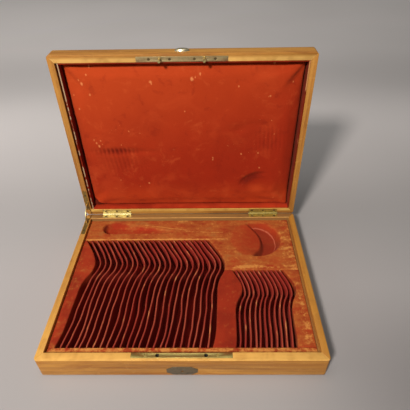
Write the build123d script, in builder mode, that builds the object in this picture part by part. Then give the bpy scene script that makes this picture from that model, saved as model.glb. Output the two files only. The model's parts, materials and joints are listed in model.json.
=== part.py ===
"""Antique cutlery chest: a flat oak case with a lined lid, a velvet-covered insert with S-shaped
slots for spoons and forks, a ladle recess, a stud lock, two butt hinges and a curved brass stay.

Millimetres. X runs left to right, Y from the front to the rear, Z up from the surface that the
chest stands on. The origin is the middle of the base's underside. The lid is drawn in its own
rim plane, in the coordinates that it has when shut, and that plane is turned open about the hinge.
"""

from build123d import *

import os
from math import atan, cos, degrees, pi, radians, sin, tan

os.makedirs("parts", exist_ok=True)

# Case
wall = 10.0
front_wall = 12.0
rear_wall = 12.0
base_height = 41.0
lid_height = 27.0
panel_thickness = 4.5
panel_rabbet = 3.5
outer_round = 4.5
outer_bevel = 2.4
rim_gap = 0.15

# Insert and what it holds, from left to right and from the front to the rear
insert_gap_left = 0.5
insert_gap_right = 3.2
insert_gap_front = 0.5
insert_gap_rear = 0.5
packing_gap = 0.25
packing_drop = 0.6
velvet_drop = 6.0
floor_thickness = 2.5
velvet_bevel = 1.0
left_land = 32.8
centre_land = 26.8
right_land = 11.3
front_strip_width = 11.0
divider_thickness = 2.5
divider_drop = 0.6
divider_chords = 3
large_slot_count = 24
large_slot_width = 7.1
large_slot_length = 221.0
small_slot_count = 12
small_slot_width = 5.0
small_slot_length = 146.0
bed_depth = 55.0

# A spoon's side profile: distance from the slot's rear wall, and sideways from the bulge
large_profile = ((-8, -33.8), (31.5, -9.8), (65, 4.6), (100, -13.5), (201.5, -17.6), (229, -25.2))
large_bends = (110, 45, 70, 150)
small_profile = ((-8, -19.2), (39.5, 4.0), (72, -12.9), (134, -14.0), (154.5, -17.6))
small_bends = (34, 60, 90)

# Ladle recess
handle_end_margin = 26.5
handle_end_radius = 18.0
handle_floor_radius = 10.0
handle_depth = 12.0
handle_rear_margin = 21.0
handle_length = 120.0
neck_half_width = 3.5
neck_floor_half_width = 2.5
neck_depth = 0.6
neck_shift = 13.0
bowl_end_margin = 18.8
bowl_half_length = 48.0
bowl_half_width = 45.0
bowl_rear_margin = 53.0
bowl_depth = 21.0
bowl_draft = 22.0
ramp_radius = 49.0
ramp_depth = 13.0
ramp_offset = 37.0
ramp_shift = 2.0

# Hinges
hinge_back = 0.4
hinge_centre = 145.0
leaf_thickness = 1.5
leaf_reach = 10.9
barrel_radius = 2.75
hinge_pin_radius = 1.25
pin_clearance = 0.05
pin_head = 0.8
pin_head_radius = 2.0
knuckle_count = 3
knuckle_gap = 0.2
barrel_clearance = 0.35
hinge_screw_pitch = 21.6
hinge_screw_margin = 6.4
lid_open_angle = 90.0
half_turn_angle = 180.0

# Stay
stay_inset = 4.8
stay_radius = 25.0
stay_width = 4.5
stay_thickness = 1.6
stay_overlap = 8.0
stay_lug_start = 4.5
stay_lug_reach = 0.5
stay_slot_gap = 0.25
stay_mortise_gap = 0.3
stay_mortise_end = 1.0
stay_plate_length = 46.0
stay_plate_width = 7.6
stay_plate_thickness = 1.5
stay_plate_rear = 11.0
stay_screw_inset = 11.0
stay_rear_screw_inset = 4.5

# Lock
lock_plate_width = 8.3
lock_plate_thickness = 1.8
lock_screw_gap = 3.3
lock_plate_end = 20.5
stud_offset = 34.0
stud_hole_radius = 2.65
stud_radius = 2.3
stud_length = 10.5
stud_slot_width = 2.6
stud_slot_height = 3.8
stud_cap = 1.6
rivet_radius = 1.5
rivet_clearance = 0.02
case_wall = 1.0
case_bottom = 7.0
case_clearance = 0.2
back_plate_thickness = 1.5
bolt_travel = 5.2
bolt_thickness = 2.0
bolt_tip_gap = 0.5
bolt_end_gap = 0.8
finger_length = 5.6
finger_height = 2.8
riser_width = 3.0
bar_height = 5.0
bar_drop = 12.6
tail_width = 14.0
tail_length = 4.8
tail_notch_width = 7.0
tail_notch_height = 2.6
guide_offset = 17.0
guide_radius = 1.4
guide_clearance = 0.2
key_pin_radius = 1.0
spring_thickness = 0.6
spring_gap = 0.3
spring_length = 30.0
spring_sag = 3.0
spring_width = 3.0
keyhole_height = 12.4
keyhole_radius = 1.7
keyhole_slot_width = 1.5
keyhole_slot_length = 4.0
escutcheon_width = 44.6
escutcheon_height = 21.0
escutcheon_flat = 26.0
escutcheon_tip = 8.0
escutcheon_centre = 13.9
escutcheon_inset = 1.2
escutcheon_proud = 0.3

# Lid fittings
strike_plate_end = 19.5
strike_plate_width = 8.3
strike_plate_thickness = 1.5
strike_inner_screw = 18.8
thumb_half_width = 11.75
thumb_half_height = 5.5
thumb_height = 14.0
thumb_proud = 4.0
thumb_draft_angle = 25.0
lining_thickness = 1.8
lining_gap_left = 3.2
lining_gap_right = 0.5
lining_gap = 0.4
lining_drop = 1.0
cushion_gap = 0.5
cushion_drop = 6.5
cushion_crown = 3.0
cushion_crown_reach = 75.0
cushion_draw = 2.0
cushion_corner = 6.0
cushion_bevel = 4.0

# Wood screws
screw_head_radius = 2.3
screw_head_depth = 1.4
screw_shank_radius = 1.2
screw_length = 8.0
small_sides = 12
round_sides = 24
screw_clearance = 0.03

# Sizes that follow from the driving ones
large_pitch = large_slot_width + divider_thickness
small_pitch = small_slot_width + divider_thickness
large_block = large_slot_count * large_pitch - divider_thickness
small_block = small_slot_count * small_pitch - divider_thickness
insert_width = left_land + large_block + centre_land + small_block + right_land
width = insert_width + insert_gap_left + insert_gap_right + 2 * wall
insert_depth = front_strip_width + large_slot_length + bed_depth
depth = insert_depth + insert_gap_front + insert_gap_rear + front_wall + rear_wall

inner_left = -width / 2 + wall
inner_right = width / 2 - wall
inner_front = -depth / 2 + front_wall
inner_rear = depth / 2 - rear_wall
insert_left = inner_left + insert_gap_left
insert_right = inner_right - insert_gap_right
insert_front = inner_front + insert_gap_front
insert_rear = inner_rear - insert_gap_rear
slots_front = insert_front + front_strip_width
large_rear = slots_front + large_slot_length
small_rear = slots_front + small_slot_length
large_left = insert_left + left_land
large_right = large_left + large_block
small_left = large_right + centre_land
small_right = small_left + small_block
floor_top = panel_thickness + floor_thickness
insert_top = base_height - velvet_drop
block_height = insert_top - floor_top
divider_height = block_height - divider_drop

handle_x = insert_left + handle_end_margin + handle_end_radius
handle_y = insert_rear - handle_rear_margin
bowl_x = insert_right - bowl_end_margin - bowl_half_length
bowl_y = insert_rear - bowl_rear_margin
bowl_floor_inset = bowl_depth * tan(radians(bowl_draft))
ramp_x = bowl_x - ramp_offset
ramp_y = bowl_y - ramp_shift

hinge_y = depth / 2 + hinge_back
hinge_bore_radius = hinge_pin_radius + pin_clearance
leaf_inner_y = hinge_y - leaf_reach
leaf_outer_y = hinge_y - barrel_radius - barrel_clearance
hinge_screw_y = (leaf_inner_y + leaf_outer_y) / 2
hinge_length = 2 * (hinge_screw_pitch + hinge_screw_margin)
knuckle_length = hinge_length / knuckle_count
open_angle = radians(lid_open_angle)
base_rim = Plane.XY.offset(base_height)
lid_base = Plane(
    origin=(0, hinge_y - hinge_y * cos(open_angle), base_height + hinge_y * sin(open_angle)),
    x_dir=(1, 0, 0),
    z_dir=(0, sin(open_angle), cos(open_angle)),
)
lid_rim = lid_base.offset(rim_gap)
lid_up = Axis(lid_base.origin, lid_base.z_dir)
lid_depth = lid_height - rim_gap
lid_panel_plane = lid_base.offset(lid_height - panel_thickness)
lid_front_face = Plane(
    origin=lid_base.from_local_coords((0, -depth / 2, 0)),
    x_dir=(1, 0, 0),
    z_dir=-lid_base.y_dir,
)

lock_y = inner_front - lock_plate_width / 2
lock_front = inner_front - lock_plate_width
back_plate_y = inner_front - back_plate_thickness
case_front = lock_front + case_clearance
case_cavity_front = case_front + case_wall
plate_under = base_height - lock_plate_thickness
finger_bottom = base_height + rim_gap - stud_length + stud_cap + (stud_slot_height - finger_height) / 2
finger_top = finger_bottom + finger_height
bar_top = base_height - bar_drop
bar_bottom = bar_top - bar_height
bar_middle = bar_top - bar_height / 2
guide_slot_height = 2 * (guide_radius + guide_clearance)
finger_reach = stud_radius + bolt_tip_gap + finger_length
case_half_length = stud_offset + finger_reach + riser_width + bolt_end_gap + case_wall
lock_screw_offset = case_half_length + lock_screw_gap
lock_plate_length = 2 * (lock_screw_offset + lock_plate_end)
strike_plate_length = 2 * (lock_screw_offset + strike_plate_end)

stay_x = -width / 2 + stay_inset
stay_plate_y = depth / 2 - stay_plate_rear - stay_plate_length / 2
stay_plate_front = stay_plate_y - stay_plate_length / 2
stay_travel = lid_open_angle / 2
stay_mortise_angle = stay_travel + stay_overlap + stay_mortise_end

lining_rim = lid_base.offset(rim_gap + lining_drop)
lining_height = lid_height - panel_thickness - rim_gap - lining_drop
lining_left = inner_left + lining_gap_left
lining_right = inner_right - lining_gap_right
lining_front = inner_front + lining_gap
lining_rear = inner_rear - lining_gap
cushion_left = lining_left + lining_thickness + cushion_gap
cushion_right = lining_right - lining_thickness - cushion_gap
cushion_front = lining_front + lining_thickness + cushion_gap
cushion_rear = lining_rear - lining_thickness - cushion_gap
cushion_x = (cushion_left + cushion_right) / 2
cushion_y = (cushion_front + cushion_rear) / 2

# Screws stand on the rims: in the base they point down, in the lid up
screw_head_slope = (screw_head_radius - screw_shank_radius) * cos(pi / small_sides) / screw_head_depth
screw_head_angle = degrees(atan(screw_head_slope))
upside_down = (half_turn_angle, 0, 0)
lock_screw_places = [(side * lock_screw_offset, lock_y) for side in (-1, 1)]
hinge_screw_places = [
    (side * hinge_centre + step * hinge_screw_pitch, hinge_screw_y)
    for side in (-1, 1)
    for step in (-1, 0, 1)
]
stay_screw_places = [
    (stay_x, stay_plate_front + stay_screw_inset),
    (stay_x, stay_plate_front + stay_plate_length - stay_rear_screw_inset),
]
strike_screw_places = [
    Location((side * offset, lock_y, 0), upside_down)
    for side in (-1, 1)
    for offset in (strike_inner_screw, lock_screw_offset)
]
lid_hinge_screw_places = [Location((x, y, 0), upside_down) for x, y in hinge_screw_places]
lid_stay_screw_places = [Location((x, y, 0), upside_down) for x, y in stay_screw_places]
stud_places = [(side * stud_offset, lock_y) for side in (-1, 1)]
escutcheon_edge = [
    (escutcheon_width / 2, escutcheon_tip / 2),
    (escutcheon_flat / 2, escutcheon_height / 2),
    (-escutcheon_flat / 2, escutcheon_height / 2),
    (-escutcheon_width / 2, escutcheon_tip / 2),
]
escutcheon_outline = [
    (turn * x, escutcheon_centre + turn * z)
    for turn in (1, -1)
    for x, z in escutcheon_edge
]


def write_node(builder, name):
    """Label a finished piece and write it under its name."""
    builder.part.label = name
    export_step(builder.part, f"parts/{name}.step")


def rectangle_between(left, right, front, rear, mode=Mode.ADD):
    """Rectangle in a sketch, given by its four sides."""
    with Locations(((left + right) / 2, (front + rear) / 2)):
        Rectangle(right - left, rear - front, mode=mode)


def facing_front(y):
    """Upright plane that faces the front of the chest, with its height as its own Y."""
    return Plane(origin=(0, y, 0), x_dir=(1, 0, 0), z_dir=(0, -1, 0))


def across_hinge(x, rim):
    """Plane across the hinge axis, turned with a rim."""
    return Plane(origin=(x, hinge_y, base_height), x_dir=rim.y_dir, z_dir=(1, 0, 0))


def board_blank(side, rim, height, panel_plane, outer):
    """Mitred board of the case, rabbeted for the panel and rounded like the outer block."""
    left, right, front, rear = -width / 2, width / 2, -depth / 2, depth / 2
    corners = {
        "front": ((left, front), (right, front), (inner_right, inner_front), (inner_left, inner_front)),
        "rear": ((right, rear), (left, rear), (inner_left, inner_rear), (inner_right, inner_rear)),
        "left": ((left, rear), (left, front), (inner_left, inner_front), (inner_left, inner_rear)),
        "right": ((right, front), (right, rear), (inner_right, inner_rear), (inner_right, inner_front)),
    }
    with BuildPart() as blank:
        with BuildSketch(rim):
            Polygon(*corners[side], align=None)
        extrude(amount=height)
        with BuildSketch(panel_plane):
            panel_outline()
        extrude(amount=panel_thickness, mode=Mode.SUBTRACT)
        add(outer.part, mode=Mode.INTERSECT)
    return blank.part


def panel_outline():
    """Outline of the bottom and top panels, which reach into the rabbets."""
    rectangle_between(
        inner_left - panel_rabbet,
        inner_right + panel_rabbet,
        inner_front - panel_rabbet,
        inner_rear + panel_rabbet,
    )


def wood_screw(clearance=0.0):
    """Countersunk screw that hangs from the origin, or with a clearance the shape of its hole."""
    with BuildPart() as screw:
        with BuildSketch():
            RegularPolygon(screw_head_radius + clearance, small_sides)
        extrude(amount=-screw_head_depth, taper=screw_head_angle)
        with BuildSketch():
            RegularPolygon(screw_shank_radius + clearance, small_sides)
        extrude(amount=-screw_length - clearance)
    return screw.part


def profile_points(profile, bulge_x, rear_y):
    """A spoon's side profile, from a slot's rear wall to the front."""
    return [(bulge_x + side, rear_y - back) for back, side in profile]


def area_beside(points, bends, edge_x, mode=Mode.ADD):
    """Area in a sketch between a profile and the straight line at edge_x."""
    with BuildLine() as outline:
        FilletPolyline(*points, radius=bends)
        Polyline(points[-1], (edge_x, points[-1][1]), (edge_x, points[0][1]), points[0])
    make_face(outline.edges(), mode=mode)


def divider(profile, bends, rear_y, length):
    """Thin upright partition that follows a profile, with its bulge at x = 0."""
    reach = left_land + centre_land
    smooth = FilletPolyline(*profile_points(profile, 0, rear_y), radius=bends, mode=Mode.PRIVATE)
    points = [smooth @ 0]
    for bend in smooth.edges().filter_by(GeomType.CIRCLE).sort_by(Axis.Y, reverse=True):
        rear_first = bend if (bend @ 0).Y > (bend @ 1).Y else bend.reversed()
        points += [rear_first @ (step / divider_chords) for step in range(divider_chords + 1)]
    points.append(smooth @ 1)
    with BuildPart() as partition:
        with BuildSketch(Plane.XY.offset(floor_top)):
            with BuildLine():
                Polyline(*points)
                offset(amount=divider_thickness / 2, kind=Kind.INTERSECTION, side=Side.BOTH)
            make_face()
            rectangle_between(-reach, reach, rear_y - length, rear_y, mode=Mode.INTERSECT)
        extrude(amount=divider_height)
    return partition.part


def keyhole():
    """Keyhole in an upright sketch."""
    with Locations((0, keyhole_height)):
        RegularPolygon(keyhole_radius, small_sides)
        Rectangle(keyhole_slot_width, keyhole_slot_length, align=(Align.CENTER, Align.MAX))


def hinge_leaf(start, rim, near, far, knuckles):
    """Leaf between two heights above a rim, with its knuckles round the hinge axis."""
    with BuildPart() as leaf:
        with BuildSketch(rim.offset(near)):
            rectangle_between(start, start + hinge_length, leaf_inner_y, leaf_outer_y)
        extrude(amount=far - near)
        for knuckle in knuckles:
            knuckle_start = start + knuckle * knuckle_length
            knuckle_end = knuckle_start + knuckle_length
            if knuckle > 0:
                knuckle_start += knuckle_gap / 2
            if knuckle < knuckle_count - 1:
                knuckle_end -= knuckle_gap / 2
            with BuildSketch(across_hinge(knuckle_start, rim)):
                rectangle_between(leaf_outer_y - hinge_y, 0, min(near, far), max(near, far))
                RegularPolygon(barrel_radius, round_sides)
                Circle(hinge_bore_radius, mode=Mode.SUBTRACT)
            extrude(amount=knuckle_end - knuckle_start)
    return leaf.part


def barrel_recesses():
    """Recesses in a rim that let the barrels and pin heads of both hinges in, in a sketch."""
    half_length = hinge_length / 2 + pin_head + barrel_clearance
    for side in (-1, 1):
        middle = side * hinge_centre
        rectangle_between(middle - half_length, middle + half_length, leaf_outer_y, hinge_y)


def stay_band(reach, start, size, mode=Mode.ADD):
    """Piece of the stay's ring in a sketch, widened by a reach at both edges."""
    with BuildLine() as outline:
        near = CenterArc((0, 0), stay_radius - stay_width / 2 - reach, start, size)
        far = CenterArc((0, 0), stay_radius + stay_width / 2 + reach, start, size)
        Line(near @ 0, far @ 0)
        Line(near @ 1, far @ 1)
    make_face(outline.edges(), mode=mode)


def drawn_in_outline(inset):
    """Outline of the cushion in a sketch: its sides pull in between its corners."""
    left, right = cushion_left + inset, cushion_right - inset
    front, rear = cushion_front + inset, cushion_rear - inset
    with BuildLine() as outline:
        ThreePointArc((left, front), (cushion_x, front + cushion_draw), (right, front))
        ThreePointArc((right, front), (right - cushion_draw, cushion_y), (right, rear))
        ThreePointArc((right, rear), (cushion_x, rear - cushion_draw), (left, rear))
        ThreePointArc((left, rear), (left + cushion_draw, cushion_y), (left, front))
    make_face(outline.edges())


screw = wood_screw()
screw_hole = wood_screw(screw_clearance)

# Outer blocks, which round the edges of all boards alike
with BuildPart() as base_outer:
    with BuildSketch():
        Rectangle(width, depth)
    extrude(amount=base_height)
    fillet(base_outer.edges().filter_by(Axis.Z), outer_round)
    chamfer(base_outer.faces().sort_by(Axis.Z)[0].edges(), outer_bevel)

with BuildPart() as lid_outer:
    with BuildSketch(lid_rim):
        Rectangle(width, depth)
    extrude(amount=lid_depth)
    fillet(lid_outer.edges().filter_by(lid_up), outer_round)
    chamfer(lid_outer.faces().sort_by(lid_up)[-1].edges(), outer_bevel)

# Base boards
with BuildPart() as base_front_board:
    add(board_blank("front", Plane.XY, base_height, Plane.XY, base_outer))
    with BuildSketch(base_rim):
        with Locations((0, lock_y)):
            Rectangle(lock_plate_length, lock_plate_width)
    extrude(amount=-lock_plate_thickness, mode=Mode.SUBTRACT)
    with BuildSketch(base_rim):
        with Locations((0, lock_y)):
            Rectangle(2 * (case_half_length + case_clearance), lock_plate_width)
    extrude(amount=case_bottom - case_clearance - base_height, mode=Mode.SUBTRACT)
    with BuildSketch(facing_front(-depth / 2)):
        Polygon(*escutcheon_outline, align=None)
    extrude(amount=-escutcheon_inset, mode=Mode.SUBTRACT)
    with BuildSketch(facing_front(-depth / 2)):
        keyhole()
    extrude(amount=lock_plate_width - front_wall, mode=Mode.SUBTRACT)
    with Locations(base_rim), Locations(*lock_screw_places):
        add(screw_hole, mode=Mode.SUBTRACT)
write_node(base_front_board, "base_front_board")

with BuildPart() as base_rear_board:
    add(board_blank("rear", Plane.XY, base_height, Plane.XY, base_outer))
    with BuildSketch(base_rim):
        for side in (-1, 1):
            leaf_start = side * hinge_centre - hinge_length / 2
            rectangle_between(leaf_start, leaf_start + hinge_length, leaf_inner_y, hinge_y)
    extrude(amount=-leaf_thickness, mode=Mode.SUBTRACT)
    with BuildSketch(base_rim):
        barrel_recesses()
    extrude(amount=-barrel_radius - barrel_clearance, mode=Mode.SUBTRACT)
    with Locations(base_rim), Locations(*hinge_screw_places):
        add(screw_hole, mode=Mode.SUBTRACT)
write_node(base_rear_board, "base_rear_board")

with BuildPart() as base_left_board:
    add(board_blank("left", Plane.XY, base_height, Plane.XY, base_outer))
    with BuildSketch(base_rim):
        with Locations((stay_x, stay_plate_y)):
            Rectangle(stay_plate_width, stay_plate_length)
    extrude(amount=-stay_plate_thickness, mode=Mode.SUBTRACT)
    with BuildSketch(across_hinge(stay_x, base_rim)):
        stay_band(stay_lug_reach + stay_mortise_gap, half_turn_angle, stay_mortise_angle)
    extrude(amount=stay_thickness / 2 + stay_slot_gap, both=True, mode=Mode.SUBTRACT)
    with Locations(base_rim), Locations(*stay_screw_places):
        add(screw_hole, mode=Mode.SUBTRACT)
write_node(base_left_board, "base_left_board")

with BuildPart() as base_right_board:
    add(board_blank("right", Plane.XY, base_height, Plane.XY, base_outer))
write_node(base_right_board, "base_right_board")

with BuildPart() as base_bottom_panel:
    with BuildSketch():
        panel_outline()
    extrude(amount=panel_thickness)
write_node(base_bottom_panel, "base_bottom_panel")

# Insert: a floor, blocks with S-shaped edges round the slots, and the bed of the ladle
with BuildPart() as tray_floor:
    with BuildSketch(Plane.XY.offset(panel_thickness)):
        rectangle_between(insert_left, insert_right, insert_front, insert_rear)
    extrude(amount=floor_thickness)
write_node(tray_floor, "tray_floor")

with BuildPart() as front_strip:
    with BuildSketch(Plane.XY.offset(floor_top)):
        rectangle_between(insert_left, insert_right, insert_front, slots_front)
    extrude(amount=block_height)
    chamfer(front_strip.faces().sort_by(Axis.Z)[-1].edges(), velvet_bevel)
write_node(front_strip, "front_strip")

with BuildPart() as left_filler:
    with BuildSketch(Plane.XY.offset(floor_top)):
        large_edge = profile_points(large_profile, large_left, large_rear)
        area_beside(large_edge, large_bends, insert_left - left_land)
        rectangle_between(insert_left, insert_right, slots_front, large_rear, mode=Mode.INTERSECT)
    extrude(amount=block_height)
    chamfer(left_filler.faces().sort_by(Axis.Z)[-1].edges(), velvet_bevel)
write_node(left_filler, "left_filler")

with BuildPart() as centre_filler:
    with BuildSketch(Plane.XY.offset(floor_top)):
        large_edge = profile_points(large_profile, large_right, large_rear)
        small_edge = profile_points(small_profile, small_left, small_rear)
        area_beside(large_edge, large_bends, insert_right)
        rectangle_between(insert_left, insert_right, slots_front, small_rear, mode=Mode.INTERSECT)
        area_beside(small_edge, small_bends, insert_right, mode=Mode.SUBTRACT)
    extrude(amount=block_height)
    chamfer(centre_filler.faces().sort_by(Axis.Z)[-1].edges(), velvet_bevel)
write_node(centre_filler, "centre_filler")

with BuildPart() as right_filler:
    with BuildSketch(Plane.XY.offset(floor_top)):
        small_edge = profile_points(small_profile, small_right, small_rear)
        area_beside(small_edge, small_bends, insert_right)
        rectangle_between(insert_left, insert_right, slots_front, small_rear, mode=Mode.INTERSECT)
    extrude(amount=block_height)
    chamfer(right_filler.faces().sort_by(Axis.Z)[-1].edges(), velvet_bevel)
write_node(right_filler, "right_filler")

# A strip of wood wedges the insert at its right
with BuildPart() as packing_strip:
    with BuildSketch(Plane.XY.offset(panel_thickness)):
        rectangle_between(
            insert_right + packing_gap, inner_right - packing_gap, insert_front, insert_rear
        )
    extrude(amount=insert_top - packing_drop - panel_thickness)
write_node(packing_strip, "packing_strip")

# The ladle's handle lies in a hollow that narrows to the neck
handle_direction = Vector(handle_length, -neck_shift, 0).normalized()
handle_side = Vector(neck_shift, handle_length, 0)
with BuildPart() as handle_hollow:
    for centre, half_width, floor_half_width, drop in (
        ((handle_x, handle_y, insert_top), handle_end_radius, handle_floor_radius, handle_depth),
        (
            (handle_x + handle_length, handle_y - neck_shift, insert_top),
            neck_half_width,
            neck_floor_half_width,
            neck_depth,
        ),
    ):
        with BuildSketch(Plane(origin=centre, x_dir=handle_side, z_dir=handle_direction)):
            Polygon(
                (-half_width, 0),
                (half_width, 0),
                (floor_half_width, -drop),
                (-floor_half_width, -drop),
                align=None,
            )
    loft()
    with Locations((handle_x, handle_y, insert_top)):
        hanging = (Align.CENTER, Align.CENTER, Align.MAX)
        Cone(handle_floor_radius, handle_end_radius, handle_depth, align=hanging)

# Its bowl stands in a round well, with a ramp that leaves a deep crescent at the right
with BuildPart() as bowl_ramp:
    with BuildSketch(facing_front(ramp_y)):
        Polygon(
            (bowl_x - bowl_half_length, insert_top),
            (ramp_x + ramp_radius, insert_top - ramp_depth),
            (ramp_x + ramp_radius, insert_top - bowl_depth),
            (bowl_x - bowl_half_length, insert_top - bowl_depth),
            align=None,
        )
    extrude(amount=ramp_radius, both=True)
    with BuildSketch(Plane.XY.offset(insert_top)):
        with Locations((ramp_x, ramp_y)):
            Circle(ramp_radius)
    extrude(amount=-bowl_depth, mode=Mode.INTERSECT)

with BuildPart() as bowl_hollow:
    with BuildSketch(Plane.XY.offset(insert_top)):
        with Locations((bowl_x, bowl_y)):
            Ellipse(bowl_half_length, bowl_half_width)
    with BuildSketch(Plane.XY.offset(insert_top - bowl_depth)):
        with Locations((bowl_x, bowl_y)):
            Ellipse(bowl_half_length - bowl_floor_inset, bowl_half_width - bowl_floor_inset)
    loft()
    add(bowl_ramp.part, mode=Mode.SUBTRACT)

with BuildPart() as ladle_bed:
    with BuildSketch(Plane.XY.offset(floor_top)):
        large_edge = profile_points(large_profile, large_right, large_rear)
        area_beside(large_edge, large_bends, insert_right)
        rectangle_between(insert_left, insert_right, small_rear, large_rear, mode=Mode.INTERSECT)
        rectangle_between(insert_left, insert_right, large_rear, insert_rear)
    extrude(amount=block_height)
    chamfer(ladle_bed.faces().sort_by(Axis.Z)[-1].edges(), velvet_bevel)
    add(handle_hollow.part, mode=Mode.SUBTRACT)
    add(bowl_hollow.part, mode=Mode.SUBTRACT)
write_node(ladle_bed, "ladle_bed")

# Dividers between the slots
large_divider = divider(large_profile, large_bends, large_rear, large_slot_length)
first_divider_x = large_left + large_slot_width + divider_thickness / 2
with BuildPart() as large_slot_dividers:
    with Locations(*[(first_divider_x + step * large_pitch, 0) for step in range(large_slot_count - 1)]):
        add(large_divider)
write_node(large_slot_dividers, "large_slot_dividers")

small_divider = divider(small_profile, small_bends, small_rear, small_slot_length)
for step in range(1, small_slot_count):
    with BuildPart() as small_slot_divider:
        with Locations((small_left + step * small_pitch - divider_thickness / 2, 0)):
            add(small_divider)
    write_node(small_slot_divider, f"small_slot_divider_{step:02d}")

# Lock: a plate in the rim, a case under it, and a bolt that slides into the lid's studs
with BuildPart() as lock_plate:
    with BuildSketch(base_rim):
        with Locations((0, lock_y)):
            Rectangle(lock_plate_length, lock_plate_width)
        with Locations(*stud_places):
            RegularPolygon(stud_hole_radius, round_sides, mode=Mode.SUBTRACT)
    extrude(amount=-lock_plate_thickness)
    with Locations(base_rim), Locations(*lock_screw_places):
        add(screw_hole, mode=Mode.SUBTRACT)
write_node(lock_plate, "lock_plate")

with BuildPart() as lock_case:
    with BuildSketch(Plane.XY.offset(case_bottom)):
        rectangle_between(-case_half_length, case_half_length, case_front, back_plate_y)
    extrude(amount=plate_under - case_bottom)
    with BuildSketch(Plane.XY.offset(case_bottom + case_wall)):
        rectangle_between(
            case_wall - case_half_length, case_half_length - case_wall, case_cavity_front, back_plate_y
        )
    extrude(amount=plate_under - case_bottom - case_wall, mode=Mode.SUBTRACT)
    with BuildSketch(facing_front(case_front)):
        keyhole()
    extrude(amount=-case_wall, mode=Mode.SUBTRACT)
    with BuildSketch(facing_front(case_front)):
        with Locations((-guide_offset, bar_middle), (guide_offset, bar_middle)):
            RegularPolygon(guide_radius, small_sides)
    extrude(amount=case_front - back_plate_y)
write_node(lock_case, "lock_case")

with BuildPart() as lock_back_plate:
    with BuildSketch(facing_front(inner_front)):
        rectangle_between(-case_half_length, case_half_length, case_bottom, plate_under)
    extrude(amount=back_plate_thickness)
    with BuildSketch(facing_front(back_plate_y)):
        with Locations((0, keyhole_height)):
            RegularPolygon(key_pin_radius, small_sides)
    extrude(amount=back_plate_y - case_front)
write_node(lock_back_plate, "lock_back_plate")

with BuildPart() as lock_bolt:
    with BuildSketch(facing_front(lock_y)):
        for stud_x in (-stud_offset, stud_offset):
            finger_tip = stud_x - stud_radius - bolt_tip_gap
            finger_root = finger_tip - finger_length
            rectangle_between(finger_root, finger_tip, finger_bottom, finger_top)
            rectangle_between(finger_root - riser_width, finger_root, bar_bottom, finger_top)
        bar_end = stud_offset - finger_reach
        rectangle_between(bar_end - riser_width - 2 * stud_offset, bar_end, bar_bottom, bar_top)
        rectangle_between(-tail_width / 2, tail_width / 2, bar_bottom - tail_length, bar_bottom)
        with Locations((0, bar_bottom - tail_length)):
            standing = (Align.CENTER, Align.MIN)
            Rectangle(tail_notch_width, tail_notch_height, align=standing, mode=Mode.SUBTRACT)
        with Locations(*[(side * guide_offset - bolt_travel / 2, bar_middle) for side in (-1, 1)]):
            Rectangle(bolt_travel + guide_slot_height, guide_slot_height, mode=Mode.SUBTRACT)
    extrude(amount=bolt_thickness / 2, both=True)
write_node(lock_bolt, "lock_bolt")

with BuildPart() as lock_spring:
    with BuildSketch(facing_front(case_cavity_front)):
        with BuildLine():
            spring_middle = bar_top + spring_gap + spring_thickness / 2
            ThreePointArc(
                (-spring_length / 2, spring_middle + spring_sag),
                (0, spring_middle),
                (spring_length / 2, spring_middle + spring_sag),
            )
            offset(amount=spring_thickness / 2, side=Side.BOTH)
        make_face()
    extrude(amount=-spring_width)
write_node(lock_spring, "lock_spring")

with BuildPart() as escutcheon:
    with BuildSketch(facing_front(escutcheon_inset - depth / 2)):
        Polygon(*escutcheon_outline, align=None)
    extrude(amount=escutcheon_inset + escutcheon_proud)
    with BuildSketch(facing_front(escutcheon_inset - depth / 2)):
        keyhole()
    extrude(amount=escutcheon_inset + escutcheon_proud, mode=Mode.SUBTRACT)
write_node(escutcheon, "escutcheon")

with BuildPart() as lock_screws:
    with Locations(base_rim), Locations(*lock_screw_places):
        add(screw)
write_node(lock_screws, "lock_screws")

# Hinges
for side_name, side in (("left", -1), ("right", 1)):
    leaf_start = side * hinge_centre - hinge_length / 2
    with BuildPart() as base_leaf:
        add(hinge_leaf(leaf_start, base_rim, 0, -leaf_thickness, range(0, knuckle_count, 2)))
        with Locations(base_rim), Locations(*hinge_screw_places):
            add(screw_hole, mode=Mode.SUBTRACT)
    write_node(base_leaf, f"{side_name}_base_leaf")

    with BuildPart() as lid_leaf:
        lid_knuckles = range(1, knuckle_count, 2)
        add(hinge_leaf(leaf_start, lid_base, rim_gap, rim_gap + leaf_thickness, lid_knuckles))
        with Locations(lid_rim), Locations(*lid_hinge_screw_places):
            add(screw_hole, mode=Mode.SUBTRACT)
    write_node(lid_leaf, f"{side_name}_lid_leaf")

    with BuildPart() as hinge_pin:
        with BuildSketch(across_hinge(leaf_start, base_rim)):
            Circle(hinge_pin_radius)
        extrude(amount=hinge_length)
        for head_x in (leaf_start - pin_head, leaf_start + hinge_length):
            with BuildSketch(across_hinge(head_x, base_rim)):
                RegularPolygon(pin_head_radius, small_sides)
            extrude(amount=pin_head)
    write_node(hinge_pin, f"{side_name}_hinge_pin")

with BuildPart() as base_hinge_screws:
    with Locations(base_rim), Locations(*hinge_screw_places):
        add(screw)
write_node(base_hinge_screws, "base_hinge_screws")

with BuildPart() as lid_hinge_screws:
    with Locations(lid_rim), Locations(*lid_hinge_screw_places):
        add(screw)
write_node(lid_hinge_screws, "lid_hinge_screws")

# Stay: a quadrant that slides in mortises under two slotted plates, with a lug at each end
with BuildPart() as stay_arc:
    with BuildSketch(across_hinge(stay_x, base_rim)):
        stay_start = half_turn_angle - lid_open_angle - stay_overlap
        stay_end = half_turn_angle + stay_overlap
        lug_angle = stay_overlap - stay_lug_start
        stay_band(0, stay_start, stay_end - stay_start)
        stay_band(stay_lug_reach, stay_start, lug_angle)
        stay_band(stay_lug_reach, stay_end - lug_angle, lug_angle)
    extrude(amount=stay_thickness / 2, both=True)
write_node(stay_arc, "stay_arc")

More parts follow.
